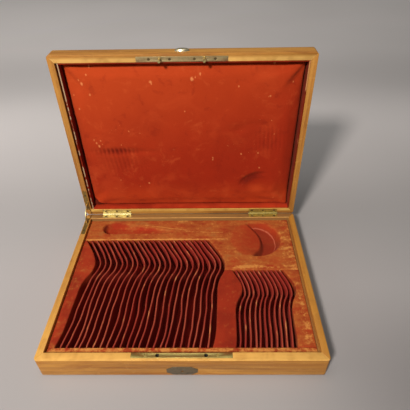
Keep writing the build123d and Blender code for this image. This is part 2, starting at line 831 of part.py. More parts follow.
with BuildPart() as stay_base_plate:
    with BuildSketch(base_rim):
        with Locations((stay_x, stay_plate_y)):
            Rectangle(stay_plate_width, stay_plate_length)
    extrude(amount=-stay_plate_thickness)
    with BuildSketch(across_hinge(stay_x, base_rim)):
        stay_band(stay_slot_gap, half_turn_angle - stay_overlap, 2 * stay_overlap)
    extrude(amount=stay_thickness / 2 + stay_slot_gap, both=True, mode=Mode.SUBTRACT)
    with Locations(base_rim), Locations(*stay_screw_places):
        add(screw_hole, mode=Mode.SUBTRACT)
write_node(stay_base_plate, "stay_base_plate")

with BuildPart() as stay_lid_plate:
    with BuildSketch(lid_rim):
        with Locations((stay_x, stay_plate_y)):
            Rectangle(stay_plate_width, stay_plate_length)
    extrude(amount=stay_plate_thickness)
    with BuildSketch(across_hinge(stay_x, lid_base)):
        stay_band(stay_slot_gap, half_turn_angle - stay_overlap, 2 * stay_overlap)
    extrude(amount=stay_thickness / 2 + stay_slot_gap, both=True, mode=Mode.SUBTRACT)
    with Locations(lid_rim), Locations(*lid_stay_screw_places):
        add(screw_hole, mode=Mode.SUBTRACT)
write_node(stay_lid_plate, "stay_lid_plate")

with BuildPart() as stay_base_screws:
    with Locations(base_rim), Locations(*stay_screw_places):
        add(screw)
write_node(stay_base_screws, "stay_base_screws")

with BuildPart() as stay_lid_screws:
    with Locations(lid_rim), Locations(*lid_stay_screw_places):
        add(screw)
write_node(stay_lid_screws, "stay_lid_screws")

# Lid boards
with BuildPart() as lid_front_board:
    add(board_blank("front", lid_rim, lid_depth, lid_panel_plane, lid_outer))
    with BuildSketch(lid_rim):
        with Locations((0, lock_y)):
            Rectangle(strike_plate_length, strike_plate_width)
    extrude(amount=strike_plate_thickness, mode=Mode.SUBTRACT)
    with Locations(lid_rim), Locations(*strike_screw_places):
        add(screw_hole, mode=Mode.SUBTRACT)
write_node(lid_front_board, "lid_front_board")

with BuildPart() as lid_rear_board:
    add(board_blank("rear", lid_rim, lid_depth, lid_panel_plane, lid_outer))
    with BuildSketch(lid_rim):
        for side in (-1, 1):
            leaf_start = side * hinge_centre - hinge_length / 2
            rectangle_between(leaf_start, leaf_start + hinge_length, leaf_inner_y, hinge_y)
    extrude(amount=leaf_thickness, mode=Mode.SUBTRACT)
    with BuildSketch(lid_base):
        barrel_recesses()
    extrude(amount=barrel_radius + barrel_clearance, mode=Mode.SUBTRACT)
    with Locations(lid_rim), Locations(*lid_hinge_screw_places):
        add(screw_hole, mode=Mode.SUBTRACT)
write_node(lid_rear_board, "lid_rear_board")

with BuildPart() as lid_left_board:
    add(board_blank("left", lid_rim, lid_depth, lid_panel_plane, lid_outer))
    with BuildSketch(lid_rim):
        with Locations((stay_x, stay_plate_y)):
            Rectangle(stay_plate_width, stay_plate_length)
    extrude(amount=stay_plate_thickness, mode=Mode.SUBTRACT)
    with BuildSketch(across_hinge(stay_x, lid_base)):
        mortise_start = half_turn_angle - stay_mortise_angle
        stay_band(stay_lug_reach + stay_mortise_gap, mortise_start, stay_mortise_angle)
    extrude(amount=stay_thickness / 2 + stay_slot_gap, both=True, mode=Mode.SUBTRACT)
    with Locations(lid_rim), Locations(*lid_stay_screw_places):
        add(screw_hole, mode=Mode.SUBTRACT)
write_node(lid_left_board, "lid_left_board")

with BuildPart() as lid_right_board:
    add(board_blank("right", lid_rim, lid_depth, lid_panel_plane, lid_outer))
write_node(lid_right_board, "lid_right_board")

with BuildPart() as lid_top_panel:
    with BuildSketch(lid_panel_plane):
        panel_outline()
    extrude(amount=panel_thickness)
write_node(lid_top_panel, "lid_top_panel")

# Lid lining: four boards on the panel, and a cushion between them
for lining_name, bounds in (
    ("left", (lining_left, lining_left + lining_thickness, lining_front, lining_rear)),
    ("right", (lining_right - lining_thickness, lining_right, lining_front, lining_rear)),
    (
        "front",
        (
            lining_left + lining_thickness,
            lining_right - lining_thickness,
            lining_front,
            lining_front + lining_thickness,
        ),
    ),
    (
        "rear",
        (
            lining_left + lining_thickness,
            lining_right - lining_thickness,
            lining_rear - lining_thickness,
            lining_rear,
        ),
    ),
):
    with BuildPart() as lining:
        with BuildSketch(lining_rim):
            rectangle_between(*bounds)
        extrude(amount=lining_height)
    write_node(lining, f"lid_{lining_name}_lining")

cushion_shoulder = cushion_drop + cushion_crown + cushion_bevel
with BuildPart() as lid_cushion:
    for height, inset in (
        (lid_height - panel_thickness, 0),
        (cushion_shoulder, 0),
        (cushion_shoulder - cushion_bevel, cushion_bevel),
        (cushion_drop, cushion_bevel + cushion_crown_reach),
    ):
        with BuildSketch(lid_base.offset(height)) as cushion_section:
            drawn_in_outline(inset)
            fillet(cushion_section.vertices(), cushion_corner)
    loft(ruled=True)
write_node(lid_cushion, "lid_cushion")

# Lid fittings
with BuildPart() as strike_plate:
    with BuildSketch(lid_rim):
        with Locations((0, lock_y)):
            Rectangle(strike_plate_length, strike_plate_width)
        with Locations(*stud_places):
            RegularPolygon(rivet_radius + rivet_clearance, small_sides, mode=Mode.SUBTRACT)
    extrude(amount=strike_plate_thickness)
    with Locations(lid_rim), Locations(*strike_screw_places):
        add(screw_hole, mode=Mode.SUBTRACT)
write_node(strike_plate, "strike_plate")

with BuildPart() as strike_studs:
    with BuildSketch(lid_rim):
        with Locations(*stud_places):
            RegularPolygon(stud_radius, round_sides)
    extrude(amount=-stud_length)
    with BuildSketch(lid_rim):
        with Locations(*stud_places):
            RegularPolygon(rivet_radius, small_sides)
    extrude(amount=strike_plate_thickness)
    with BuildSketch(lid_rim.offset(stud_cap - stud_length)):
        with Locations(*stud_places):
            Rectangle(3 * stud_radius, stud_slot_width)
    extrude(amount=stud_slot_height, mode=Mode.SUBTRACT)
write_node(strike_studs, "strike_studs")

with BuildPart() as strike_screws:
    with Locations(lid_rim), Locations(*strike_screw_places):
        add(screw)
write_node(strike_screws, "strike_screws")

thumb_turns = [2 * pi * side / round_sides for side in range(round_sides)]
thumb_edge = [(thumb_half_width * cos(turn), thumb_half_height * sin(turn)) for turn in thumb_turns]
with BuildPart() as thumb_lift:
    with BuildSketch(lid_front_face):
        with Locations((0, thumb_height)):
            Polygon(*thumb_edge, align=None)
    extrude(amount=thumb_proud, taper=thumb_draft_angle)
write_node(thumb_lift, "thumb_lift")
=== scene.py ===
"""Antique cutlery chest, open: oak case, worn velvet insert, padded lid, brass fittings.

Metres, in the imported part's frame, with the lid upright as in the photograph. Colours are linear.
"""

import json
from functools import reduce
from math import cos, pi, radians, sin

import bmesh
import bpy
import numpy as np
from mathutils import Matrix, Vector, noise

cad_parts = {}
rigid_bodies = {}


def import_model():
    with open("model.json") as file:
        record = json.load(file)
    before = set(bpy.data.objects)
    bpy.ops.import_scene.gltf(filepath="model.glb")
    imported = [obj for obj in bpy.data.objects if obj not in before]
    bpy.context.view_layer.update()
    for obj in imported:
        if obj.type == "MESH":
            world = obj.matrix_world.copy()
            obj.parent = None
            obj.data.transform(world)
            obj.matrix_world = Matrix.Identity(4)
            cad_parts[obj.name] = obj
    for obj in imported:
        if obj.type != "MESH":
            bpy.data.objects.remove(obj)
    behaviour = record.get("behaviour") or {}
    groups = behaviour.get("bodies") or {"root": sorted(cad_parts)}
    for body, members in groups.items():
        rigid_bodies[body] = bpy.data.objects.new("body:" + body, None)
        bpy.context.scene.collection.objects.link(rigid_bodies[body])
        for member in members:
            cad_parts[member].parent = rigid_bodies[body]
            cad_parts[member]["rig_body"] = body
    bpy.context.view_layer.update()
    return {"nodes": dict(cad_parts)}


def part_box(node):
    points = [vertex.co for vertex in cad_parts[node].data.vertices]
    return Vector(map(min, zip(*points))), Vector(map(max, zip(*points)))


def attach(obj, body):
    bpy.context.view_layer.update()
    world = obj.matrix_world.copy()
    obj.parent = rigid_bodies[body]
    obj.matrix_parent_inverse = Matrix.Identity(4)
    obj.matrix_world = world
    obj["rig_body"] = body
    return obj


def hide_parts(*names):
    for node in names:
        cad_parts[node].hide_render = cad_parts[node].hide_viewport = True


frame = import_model()
scene = bpy.context.scene
nodes = frame["nodes"]

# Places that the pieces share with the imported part
mm = 0.001
hinge_y = 156.4 * mm
insert_top = 35 * mm
slots_front = -132.5 * mm
large_rear, small_rear = 88.5 * mm, 13.5 * mm
large_left, small_left = -161.7 * mm, 93.0 * mm
large_slot, small_slot = 7.1 * mm, 5.0 * mm
divider_foot = 7.0 * mm
divider_height = 27.4 * mm
divider_thickness = 2.5 * mm

# A partition's course as (distance from its rear end, offset in x), in millimetres
large_path = ((-8, -33.8), (31.5, -9.8), (65, 4.6), (100, -13.5), (201.5, -17.6), (229, -25.2))
small_path = ((-8, -19.2), (39.5, 4.0), (72, -12.9), (134, -14.0), (154.5, -17.6))

# What the silver left in the cushion: each print's lean and pitch, and the crease by the bowl
left_print = (0.12, 7.4)
right_print = (0.06, 7.0)
crease_centre = (138, 96)
crease_squash = 1.15

# Lengths over which the fold along the cushion's lower edge waves, in millimetres, and its phase
long_wave, short_wave, wave_phase = 47.0, 17.0, 0.4


# Shader and node-tree maths


class Value:
    """A socket of a node tree that takes Python's operators."""

    def __init__(self, graph, socket):
        self.graph = graph
        self.socket = socket

    def maths(self, operation, *others):
        sockets = dict(enumerate((self, *others)))
        return self.graph.node("ShaderNodeMath", sockets, operation=operation)

    def __add__(self, other):
        return self.maths("ADD", other)

    __radd__ = __add__

    def __sub__(self, other):
        return self.maths("SUBTRACT", other)

    def __rsub__(self, other):
        return self.graph.node("ShaderNodeMath", {0: other, 1: self}, operation="SUBTRACT")

    def __mul__(self, other):
        return self.maths("MULTIPLY", other)

    __rmul__ = __mul__

    def __truediv__(self, other):
        return self.maths("DIVIDE", other)

    def __abs__(self):
        return self.maths("ABSOLUTE")

    def __pow__(self, other):
        return self.maths("POWER", other)

    def between(self, low, high):
        """0 below low, 1 above high, with a smooth step between them."""
        ends = {0: self, 1: low, 2: high, 3: 0.0, 4: 1.0}
        return self.graph.node("ShaderNodeMapRange", ends, interpolation_type="SMOOTHSTEP")

    def near(self, place, reach):
        """1 at a place, 0 further off than the reach."""
        return abs(self - place).between(reach, 0.0)

    def most(self, other):
        return self.maths("MAXIMUM", other)

    def held(self, low, high):
        return self.most(low).maths("MINIMUM", high)


class Graph:
    """A node tree, filled through one method."""

    def __init__(self, tree):
        self.tree = tree

    def node(self, kind, sockets=None, out=0, stops=(), **settings):
        made = self.tree.nodes.new(kind)
        for name, value in settings.items():
            setattr(made, name, value)
        if stops:
            elements = made.color_ramp.elements
            while len(elements) < len(stops):
                elements.new(0.5)
            for element, (place, colour) in zip(elements, stops):
                element.position = place
                element.color = (*colour, 1.0)
        for name, value in (sockets or {}).items():
            if isinstance(value, Value):
                self.tree.links.new(value.socket, made.inputs[name])
            else:
                made.inputs[name].default_value = value
        return Value(self, made.outputs[out])


class Finish(Graph):
    """A material under construction, with its patterns on Object coordinates."""

    def __init__(self, name):
        self.material = bpy.data.materials.new(name)
        self.material.use_nodes = True
        super().__init__(self.material.node_tree)
        self.tree.nodes.clear()
        self.place = self.node("ShaderNodeTexCoord", out=3)
        self.x, self.y, self.z = (
            self.node("ShaderNodeSeparateXYZ", {0: self.place}, out=axis) for axis in range(3)
        )

    def spot(self, scale, shift=(0, 0, 0), turn=(0, 0, 0)):
        """Object coordinates, turned, scaled and shifted."""
        turned = self.node("ShaderNodeMapping", {"Vector": self.place, "Rotation": turn})
        sockets = {"Vector": turned, "Scale": scale, "Location": shift}
        return self.node("ShaderNodeMapping", sockets)

    def noise(self, scale, detail=3.0, rough=0.5, where=None, twist=0.0):
        sockets = {"Vector": where or self.place, "Scale": scale, "Detail": detail}
        sockets |= {"Roughness": rough, "Distortion": twist}
        return self.node("ShaderNodeTexNoise", sockets)

    def mix(self, share, low, high):
        colours = {0: share, 6: self.colour(low), 7: self.colour(high)}
        return self.node("ShaderNodeMix", colours, out=2, data_type="RGBA", blend_type="MIX")

    def painted(self, body, *layers):
        """Lays colours over a body in turn, each given as its share and itself."""
        for share, colour in layers:
            body = self.mix(share, body, colour)
        return body

    @staticmethod
    def colour(value):
        return (*value, 1.0) if isinstance(value, tuple) else value

    def bump(self, height, strength, distance):
        sockets = {"Height": height, "Strength": strength, "Distance": distance}
        return self.node("ShaderNodeBump", sockets)

    def surface(self, **sockets):
        named = {name.replace("_", " "): self.colour(value) for name, value in sockets.items()}
        shader = self.node("ShaderNodeBsdfPrincipled", named)
        output = self.tree.nodes.new("ShaderNodeOutputMaterial")
        self.tree.links.new(shader.socket, output.inputs["Surface"])
        return self.material


def span(across, along):
    """Length of two offsets at right angles."""
    return (across * across + along * along) ** 0.5


# Oak


# From bare wood to rim: in height on the base, in depth on the open lid
base_rim = (0.0398, 0.0406)
lid_rim = (0.1576, 0.1568)
grain_turns = {"x": (0, 0, 0), "y": (0, 0, radians(-90)), "z": (0, radians(90), 0)}
oak_stops = (
    (0.30, (0.25, 0.078, 0.012)),
    (0.43, (0.41, 0.158, 0.026)),
    (0.56, (0.54, 0.238, 0.040)),
    (0.72, (0.64, 0.312, 0.062)),
)


def oak(name, along, seed, tone=1.0, grey=0.0, worn=None):
    """Waxed golden oak with its grain along one axis.

    tone makes it lighter or darker, grey is the share of a darker grey-brown in its surface, and
    worn gives the share and the colour of worn places and of painted highlight and shade.
    """
    pore_brown, fleck_gold = (0.13, 0.045, 0.009), (0.70, 0.38, 0.10)
    patch_brown, grey_brown = (0.32, 0.125, 0.022), (0.165, 0.100, 0.046)
    finish = Finish(name)
    turn = grain_turns[along]
    shift = (seed * 1.7, seed * 2.3, seed * 3.1)
    bend = finish.noise(1.0, 2.0, where=finish.spot((3.5, 9, 9), shift, turn))
    bent = finish.mix(bend, (0.0, 0.0, 0.0), (0.0, 3.2, 3.2))
    grain_place = finish.node(
        "ShaderNodeVectorMath", {0: finish.spot((2.2, 58, 58), shift, turn), 1: bent}
    )
    grain = finish.noise(1.0, 5.0, 0.62, where=grain_place)
    streaks = finish.noise(1.0, 4.0, 0.7, where=finish.spot((6, 330, 330), shift, turn))
    pores = finish.noise(1.0, 2.0, 0.6, where=finish.spot((42, 1250, 1250), shift, turn))
    flecks = finish.noise(1.0, 2.0, 0.5, where=finish.spot((260, 120, 120), shift, turn))
    patches = finish.noise(7.0, 3.0, 0.55)
    stops = [(place, tuple(tone * channel for channel in colour)) for place, colour in oak_stops]
    body = finish.node("ShaderNodeValToRGB", {0: grain * 0.66 + streaks * 0.34}, stops=stops)
    open_pores = pores.between(0.42, 0.33) * streaks.between(0.64, 0.45)
    body = finish.painted(
        body,
        (open_pores * 0.50, pore_brown),
        (flecks.between(0.60, 0.72) * 0.18, fleck_gold),
        (patches.between(0.50, 0.78) * 0.30, patch_brown),
        (grey * (0.6 + streaks * 0.6), grey_brown),
    )
    if worn is not None:
        rubbed = finish.noise(60.0, 2.0, 0.5).between(0.2, 0.6) * 0.5 + 0.5
        share, colour = worn(finish)
        body = finish.mix(share * rubbed, body, colour)
    return finish.surface(
        Base_Color=body,
        Roughness=0.44 + patches * 0.14 - streaks * 0.06,
        Specular_IOR_Level=0.32,
        Coat_Weight=0.05,
        Coat_Roughness=0.3,
        Normal=finish.bump(grain * 0.3 - open_pores, 0.30, 0.0004),
    )


def front_rim(finish):
    """The base's front rim is golden: handled wear and a painted highlight."""
    return finish.z.between(*base_rim) * 0.80, (0.84, 0.455, 0.105)


def left_rim(finish):
    """The base's left rim is golden too, most towards the front: wear and painted highlight."""
    towards_front = finish.y.between(-0.06, -0.14)
    return finish.z.between(*base_rim) * (0.36 + towards_front * 0.34), (0.80, 0.420, 0.085)


def right_rim(finish):
    """The base's right rim is a deeper orange."""
    return finish.z.between(*base_rim) * 0.45, (0.56, 0.245, 0.026)


def rear_arris_highlight(finish):
    """Painted highlight: a pale line where the base's rear rim meets the insert."""
    return finish.y.between(0.1451, 0.1442) * finish.z.between(*base_rim), (0.80, 0.430, 0.120)


def lid_rear_rim(finish):
    """The upper half of the lid's rear rim is golden."""
    rim = finish.y.between(*lid_rim)
    return rim * finish.z.between(0.0465, 0.0490) * 0.8, (0.74, 0.450, 0.098)


def lid_front_rim(finish):
    """The inner half of the lid's front rim is golden."""
    rim = finish.y.between(*lid_rim)
    return rim * finish.z.between(0.3510, 0.3450) * 0.85, (0.86, 0.490, 0.130)


def panel_gap_shade(finish):
    """Painted shade: the panel's inner face, dark red, only shows in the gap round the cushion."""
    return finish.y.between(0.1796, 0.1790), (0.070, 0.0050, 0.0025)


# Velvets


def pile(finish):
    """Fine pile, its nap and brushed patches, which all velvets share."""
    fine = finish.noise(1500.0, 2.0, 0.6)
    nap = finish.noise(190.0, 3.0, 0.55)
    brushed = finish.noise(21.0, 4.0, 0.55, twist=0.6)
    return fine, nap, brushed


def velvet(finish, body, height, rough, sheen, specular, relief):
    """Surface of a velvet: sheen is weight, roughness and tint, relief strength and distance."""
    weight, sheen_rough, tint = sheen
    return finish.surface(
        Base_Color=body,
        Roughness=rough,
        Sheen_Weight=weight,
        Sheen_Roughness=sheen_rough,
        Sheen_Tint=tint,
        Specular_IOR_Level=specular,
        Normal=finish.bump(height, *relief),
    )


def tray_velvet(name, wear, seed, light=1.0, gilt=None, shades=None):
    """Red velvet, rubbed to orange where hands touch it, and to gold where gilt says.

    shades adds what a recess in it needs.
    """
    shade_red, bright_red, hollow_red = (
        (0.265, 0.0195, 0.0052), (0.375, 0.034, 0.0080), (0.365, 0.0305, 0.0062)
    )
    worn_orange, worn_brown = (0.435, 0.117, 0.0205), (0.30, 0.120, 0.034)
    raised_nap, laid_nap = (0.66, 0.225, 0.044), (0.30, 0.045, 0.0100)
    bare_gold, pile_shade = (0.64, 0.250, 0.052), (0.10, 0.010, 0.003)
    finish = Finish(name)
    fine, nap, brushed = pile(finish)
    shift = (seed, seed * 1.3, 0)
    blotches = finish.noise(62.0, 5.0, 0.68, where=finish.spot((0.55, 1.15, 0.4), shift))
    brushed_along = finish.noise(1.0, 4.0, 0.6, where=finish.spot((30, 85, 40), shift))
    hollow = finish.z.between(0.0346, 0.0300)
    share = wear * (1 - hollow * 0.62) + (blotches - 0.5) * 1.35
    share = share + (brushed_along - 0.5) * 0.75 + (nap - 0.5) * 0.5
    share = share.between(0.10, 0.95)
    red = finish.mix(brushed.between(0.35, 0.68), shade_red, bright_red)
    red = finish.mix(hollow * 0.7, red, hollow_red)
    lit = (light, light * light, light * light)
    red = finish.node("ShaderNodeVectorMath", {0: red, 1: lit}, operation="MULTIPLY")
    body = finish.painted(
        red,
        (share, worn_orange),
        (share * blotches.between(0.52, 0.72) * 0.45, worn_brown),
        (nap.between(0.56, 0.74) * (0.12 + share * 0.36), raised_nap),
        (nap.between(0.46, 0.30) * (0.10 + share * 0.22), laid_nap),
    )
    if gilt is not None:
        gold = gilt(finish)
        rubbed = (gold + (blotches - 0.5) * 2.2 + (nap - 0.5) * 1.5).between(0.42, 0.98)
        body = finish.mix(rubbed * gold.between(0.02, 0.30) * 0.85, body, bare_gold)
    if shades is not None:
        body = shades(finish, body, blotches, nap, hollow)
    body = finish.mix(fine * 0.22, body, pile_shade)
    height = fine * 0.5 + nap * 0.5 + blotches * 0.7
    sheen = (0.06, 0.5, (1.0, 0.42, 0.2))
    return velvet(finish, body, height, 0.90, sheen, 0.16, (0.38, 0.0005))


def recess_shades(finish, body, blotches, nap, hollow):
    """The ladle's recess: less worn round the bowl, painted shade where deep, with a pale seam."""
    unworn_red, seam_pink = (0.400, 0.0430, 0.0090), (0.60, 0.160, 0.080)
    deep_shade_brown, end_shade_brown = (0.185, 0.0170, 0.0060), (0.105, 0.0090, 0.0034)
    across, along = (finish.x - 0.125) / 0.048, (finish.y - 0.0905) / 0.045
    ring = span(across, along)
    unworn = (ring + (blotches - 0.5) * 0.7).between(1.22, 0.80)
    unworn = unworn * hollow.most(ring.between(1.12, 0.92))
    off_ramp = span(finish.x - 0.088, finish.y - 0.0885)
    deep = off_ramp.between(0.0435, 0.0510) * ring.between(0.97, 0.80)
    side = (across + along * 0.20).between(0.02, 0.26) * along.between(1.0, 0.85)
    seam = (ring - along * 0.09 + (nap - 0.5) * 0.04).near(0.800, 0.026)
    seam = seam * side * along.between(-0.45, -0.10)
    return finish.painted(
        body,
        (unworn * 0.62, unworn_red),
        (deep * 0.66, deep_shade_brown),
        (handle_end_shade(finish) * 0.75, end_shade_brown),
        (seam * 0.60, seam_pink),
    )


def handle_end_shade(finish):
    """Painted shade at the foot of the steep, rounded end of the handle's recess."""
    aside, back = finish.x + 0.150, finish.y - 0.1225
    foot = span(aside, back).near(0.0150, 0.0042) * finish.z.between(0.0340, 0.0310)
    return foot * (aside + back * 0.35).between(-0.003, -0.011)


def bed_gilt(finish):
    """Where the bed is rubbed to gold: along both rows of slots, and in thin creases."""
    x, y = finish.x, finish.y
    upper = finish.z.between(0.0328, 0.0344)
    large_edge = y.near(0.0896, 0.0032) * x.between(0.070, 0.062)
    small_edge = y.near(0.0200, 0.0078) * x.between(0.072, 0.082) * x.between(0.186, 0.140)
    crease = (y + (x - 0.04) * 0.06).near(0.1085, 0.0018)
    crease = crease * x.between(-0.020, 0.005) * x.between(0.080, 0.062) * 0.9
    second = (y + (x + 0.04) * 0.17).near(0.1210, 0.0017)
    second = second * x.between(-0.090, -0.070) * x.between(0.006, -0.012) * 0.9
    rear = y.between(0.118, 0.132) * x.between(-0.13, -0.05) * x.between(0.10, 0.03) * 0.30
    beside = x.between(0.155, 0.180) * 0.46
    return (large_edge + small_edge + crease + second + rear + beside) * upper


def front_gilt(finish):
    """The front strip is rubbed all along its upper edges."""
    return finish.z.between(0.0315, 0.0340) * 0.68


def filler_gilt(finish):
    """The right filler is rubbed in a band beside the small slots."""
    return finish.x.near(0.184, 0.010) * finish.y.between(0.002, -0.02) * 0.45 + 0.12


def divider_velvet(name):
    """Dark red velvet of the partitions, lighter and rubbed along their tops."""
    deep_red, lit_red = (0.225, 0.0132, 0.0085), (0.330, 0.0215, 0.0120)
    top_red, crest_pink = (0.235, 0.0165, 0.0115), (0.40, 0.074, 0.0360)
    crest_gold, pile_shade = (0.62, 0.230, 0.075), (0.05, 0.005, 0.002)
    finish = Finish(name)
    fine, nap, brushed = pile(finish)
    rubbed = finish.noise(1.0, 3.0, 0.6, where=finish.spot((150, 24, 20)))
    rows = finish.noise(1.0, 2.0, 0.5, where=finish.spot((75, 5, 5), (3, 1, 2)))
    crest = finish.z.between(0.0332, 0.0343)
    body = finish.painted(
        finish.mix(brushed.between(0.3, 0.7), deep_red, lit_red),
        (finish.z.between(0.0270, 0.0338) * 0.50, top_red),
        (crest * (0.18 + rows.between(0.35, 0.65) * 0.7), crest_pink),
        (crest * rubbed.between(0.585, 0.71) * 0.85, crest_gold),
        (fine * 0.2, pile_shade),
    )
    sheen = (0.05, 0.4, (1.0, 0.40, 0.25))
    return velvet(finish, body, fine * 0.5 + nap * 0.6, 0.92, sheen, 0.12, (0.35, 0.0004))


# Pale specks on the cushion: x, height above the floor and size, in millimetres
lid_specks = (
    (-147, 332, 3.4), (-152, 321, 3.0), (-162, 306, 4.6), (-166, 312, 2.6), (-152, 288, 3.0),
    (-52, 309, 3.8), (-51, 305, 2.8), (14, 313, 5.2), (19, 315, 2.8), (27, 320, 3.0),
    (-161, 205, 3.0), (-158, 199, 3.6), (-154, 193, 3.2), (-148, 197, 2.8), (-150, 204, 2.6),
    (-115, 196, 2.2), (-98, 222, 2.6), (46, 168, 3.4), (46, 163, 2.8), (-74, 112, 2.6),
    (139, 283, 3.0), (142, 334, 3.4), (145, 240, 2.0), (97, 175, 2.4), (110, 178, 2.0),
    (127, 177, 2.6), (131, 146, 2.4), (163, 76, 2.6), (-127, 120, 2.0), (-92, 105, 2.0),
    (-179, 287, 2.6), (-175, 263, 2.4), (0, 258, 2.0), (88, 300, 2.0), (152, 214, 2.0),
    (174, 305, 2.2),
)


def lid_velvet(name):
    """Orange-red velvet of the lid's cushion: rubs, pale specks, painted shade on its lower half.
    """
    shaded_lower_red, lit_upper_red = (0.362, 0.0208, 0.0034), (0.528, 0.0580, 0.0092)
    lit_lowest_red, cloud_red = (0.505, 0.0480, 0.0068), (0.285, 0.0150, 0.0030)
    brushed_red, pale_rub = (0.56, 0.0640, 0.0130), (0.62, 0.0960, 0.0220)
    dark_rub, pile_shade = (0.245, 0.0130, 0.0028), (0.17, 0.010, 0.002)
    fold_shade, print_shade = (0.085, 0.0035, 0.0006), (0.150, 0.0070, 0.0012)
    lip_shade, puff_highlight = (0.125, 0.0060, 0.0011), (0.620, 0.0720, 0.0130)
    speck_buff = (0.86, 0.290, 0.090)
    finish = Finish(name)
    x, z = finish.x, finish.z
    fine, nap, brushed = pile(finish)
    clouds = finish.noise(8.0, 4.0, 0.55)
    marks = finish.noise(46.0, 4.0, 0.65, twist=0.4)
    # Painted light: lighter towards the upper left, painted shade towards the lower right
    upper = ((z - x * 0.28) + (clouds - 0.5) * 0.12).between(0.13, 0.40)
    wave = (x / (long_wave * mm) + wave_phase).maths("SINE") * 0.0026
    wave = wave + (x / (short_wave * mm)).maths("SINE") * 0.0016
    lifted = (x + 0.163).maths("MINIMUM", 0.0) * -0.62
    fold = (z - wave * 0.30 - lifted).between(0.0580, 0.0562)
    body = finish.painted(
        finish.mix(upper, shaded_lower_red, lit_upper_red),
        # Painted light: the lowest band of the cushion lighter
        (z.between(0.125, 0.075) * 0.72, lit_lowest_red),
        (clouds.between(0.48, 0.72) * 0.40, cloud_red),
        (brushed.between(0.50, 0.70) * 0.34, brushed_red),
        (marks.between(0.57, 0.74) * 0.32, pale_rub),
        (marks.between(0.44, 0.30) * 0.34, dark_rub),
        (fine * 0.18, pile_shade),
        (fold * 0.92, fold_shade),
        (silver_prints(finish, brushed), print_shade),
    )
    crease_x, crease_z = (place * mm for place in crease_centre)
    arc = span(x - crease_x, (z - crease_z) * crease_squash)
    lip = (arc - 0.0375).near(0.0, 0.0120) * z.between(0.098, 0.118) * x.between(0.150, 0.120)
    # Painted highlight on the swelling below the crease
    puff = x.near(0.128, 0.024) * z.near(0.098, 0.018)
    dusty = finish.noise(17.0, 2.0).between(0.52, 0.66)
    dust = finish.noise(300.0, 2.0, 0.5).between(0.70, 0.76) * dusty
    specks = reduce(Value.most, (pale_speck(finish, nap, *speck) for speck in lid_specks))
    body = finish.painted(
        body,
        (lip * 0.88, lip_shade),
        (puff * 0.5, puff_highlight),
        ((specks * 0.76).most(dust * 0.42), speck_buff),
    )
    height = fine * 0.5 + nap * 0.5 + clouds * 1.5
    sheen = (0.07, 0.5, (1.0, 0.45, 0.22))
    return velvet(finish, body, height, 0.90, sheen, 0.14, (0.34, 0.0005))


def silver_prints(finish, brushed):
    """Where spoons and forks darkened the cushion: ribs in fans, and a band across the left one."""

    def strokes(lean, pitch):
        turns = (finish.x + finish.z * lean) * (2 * pi / (pitch * mm)) + brushed * 1.6
        return turns.maths("SINE") * 0.5 + 0.5

    left_strokes = strokes(*left_print)
    band = (finish.z - finish.x * 0.05).near(0.1885, 0.0105) * finish.x.near(-0.126, 0.056)
    left_fan = finish.z.near(0.160, 0.034) * finish.x.near(-0.120, 0.052) * left_strokes * 0.22
    right_fan = finish.z.near(0.205, 0.040) * finish.x.near(0.146, 0.034)
    right_fan = right_fan * strokes(*right_print) * 0.20
    return band * (0.42 + left_strokes * 0.46) + (left_fan + right_fan)


def pale_speck(finish, nap, x, z, size):
    """One speck with a ragged edge; a larger one is paler."""
    aside, above = finish.x - x * mm, (finish.z - z * mm) * 0.75
    offset = finish.node("ShaderNodeCombineXYZ", {0: aside, 2: above})
    away = finish.node("ShaderNodeVectorMath", {0: offset}, out=1, operation="LENGTH")
    ragged = away + (nap - 0.5) * 0.0046
    return ragged.between(size * 0.72 * mm, size * 0.10 * mm) * (0.45 + size * 0.10)


def lining_velvet(name, light, frayed_reach=0.0, raw=None):
    """Velvet of the lid's inner walls, frayed down to the raw edge of its board."""
    finish = Finish(name)
    fine, nap, brushed = pile(finish)
    # light scales the reds: painted light and shade for how lit each wall is
    dark = tuple(channel * light for channel in (0.23, 0.0135, 0.0034))
    pale = tuple(channel * light for channel in (0.36, 0.0290, 0.0066))
    body = finish.mix(brushed.between(0.3, 0.7), dark, pale)
    body = finish.mix(fine * 0.2, body, (0.06, 0.005, 0.002))
    if frayed_reach:
        frayed = finish.noise(55.0, 4.0, 0.7)
        reach = 0.62 + finish.z.between(0.27, 0.33) * 1.2 + (frayed - 0.5) * 2.6
        edge = (finish.y - hinge_y - reach * frayed_reach * mm).between(0.0004, 0.0)
        body = finish.mix(edge * 0.88, body, raw)
    sheen = (0.05, 0.45, (1.0, 0.45, 0.25))
    return velvet(finish, body, fine * 0.5 + nap * 0.6, 0.92, sheen, 0.12, (0.35, 0.0004))


# Metals


def metal(name, colour, dull, rough, tarnish):
    """Cast or rolled metal with tarnish in patches, fine scratches and handled, brighter spots."""
    finish = Finish(name)
    patches = finish.noise(95.0, 4.0, 0.62, twist=0.8)
    grime = finish.noise(420.0, 3.0, 0.6)
    lines = finish.noise(1.0, 2.0, 0.6, where=finish.spot((60, 2600, 2600)))
    covered = (patches * 0.7 + grime * 0.3).between(0.62 - tarnish * 0.3, 0.65 - tarnish * 0.2)
    body = finish.painted(
        finish.mix(patches.between(0.40, 0.66) * tarnish, colour, dull),
        (grime.between(0.55, 0.75) * tarnish * 0.6, tuple(channel * 0.45 for channel in dull)),
        (lines.between(0.60, 0.72) * 0.2, tuple(min(1.0, channel * 1.25) for channel in colour)),
    )
    spread = patches.between(0.4, 0.7) * 0.16 * tarnish + lines.between(0.6, 0.75) * 0.06
    return finish.surface(
        Base_Color=body,
        Metallic=0.92 - covered * 0.10,
        Roughness=rough + spread,
        Normal=finish.bump(patches * 0.5 + grime * 0.4 + lines * 0.3, 0.22, 0.0003),
    )


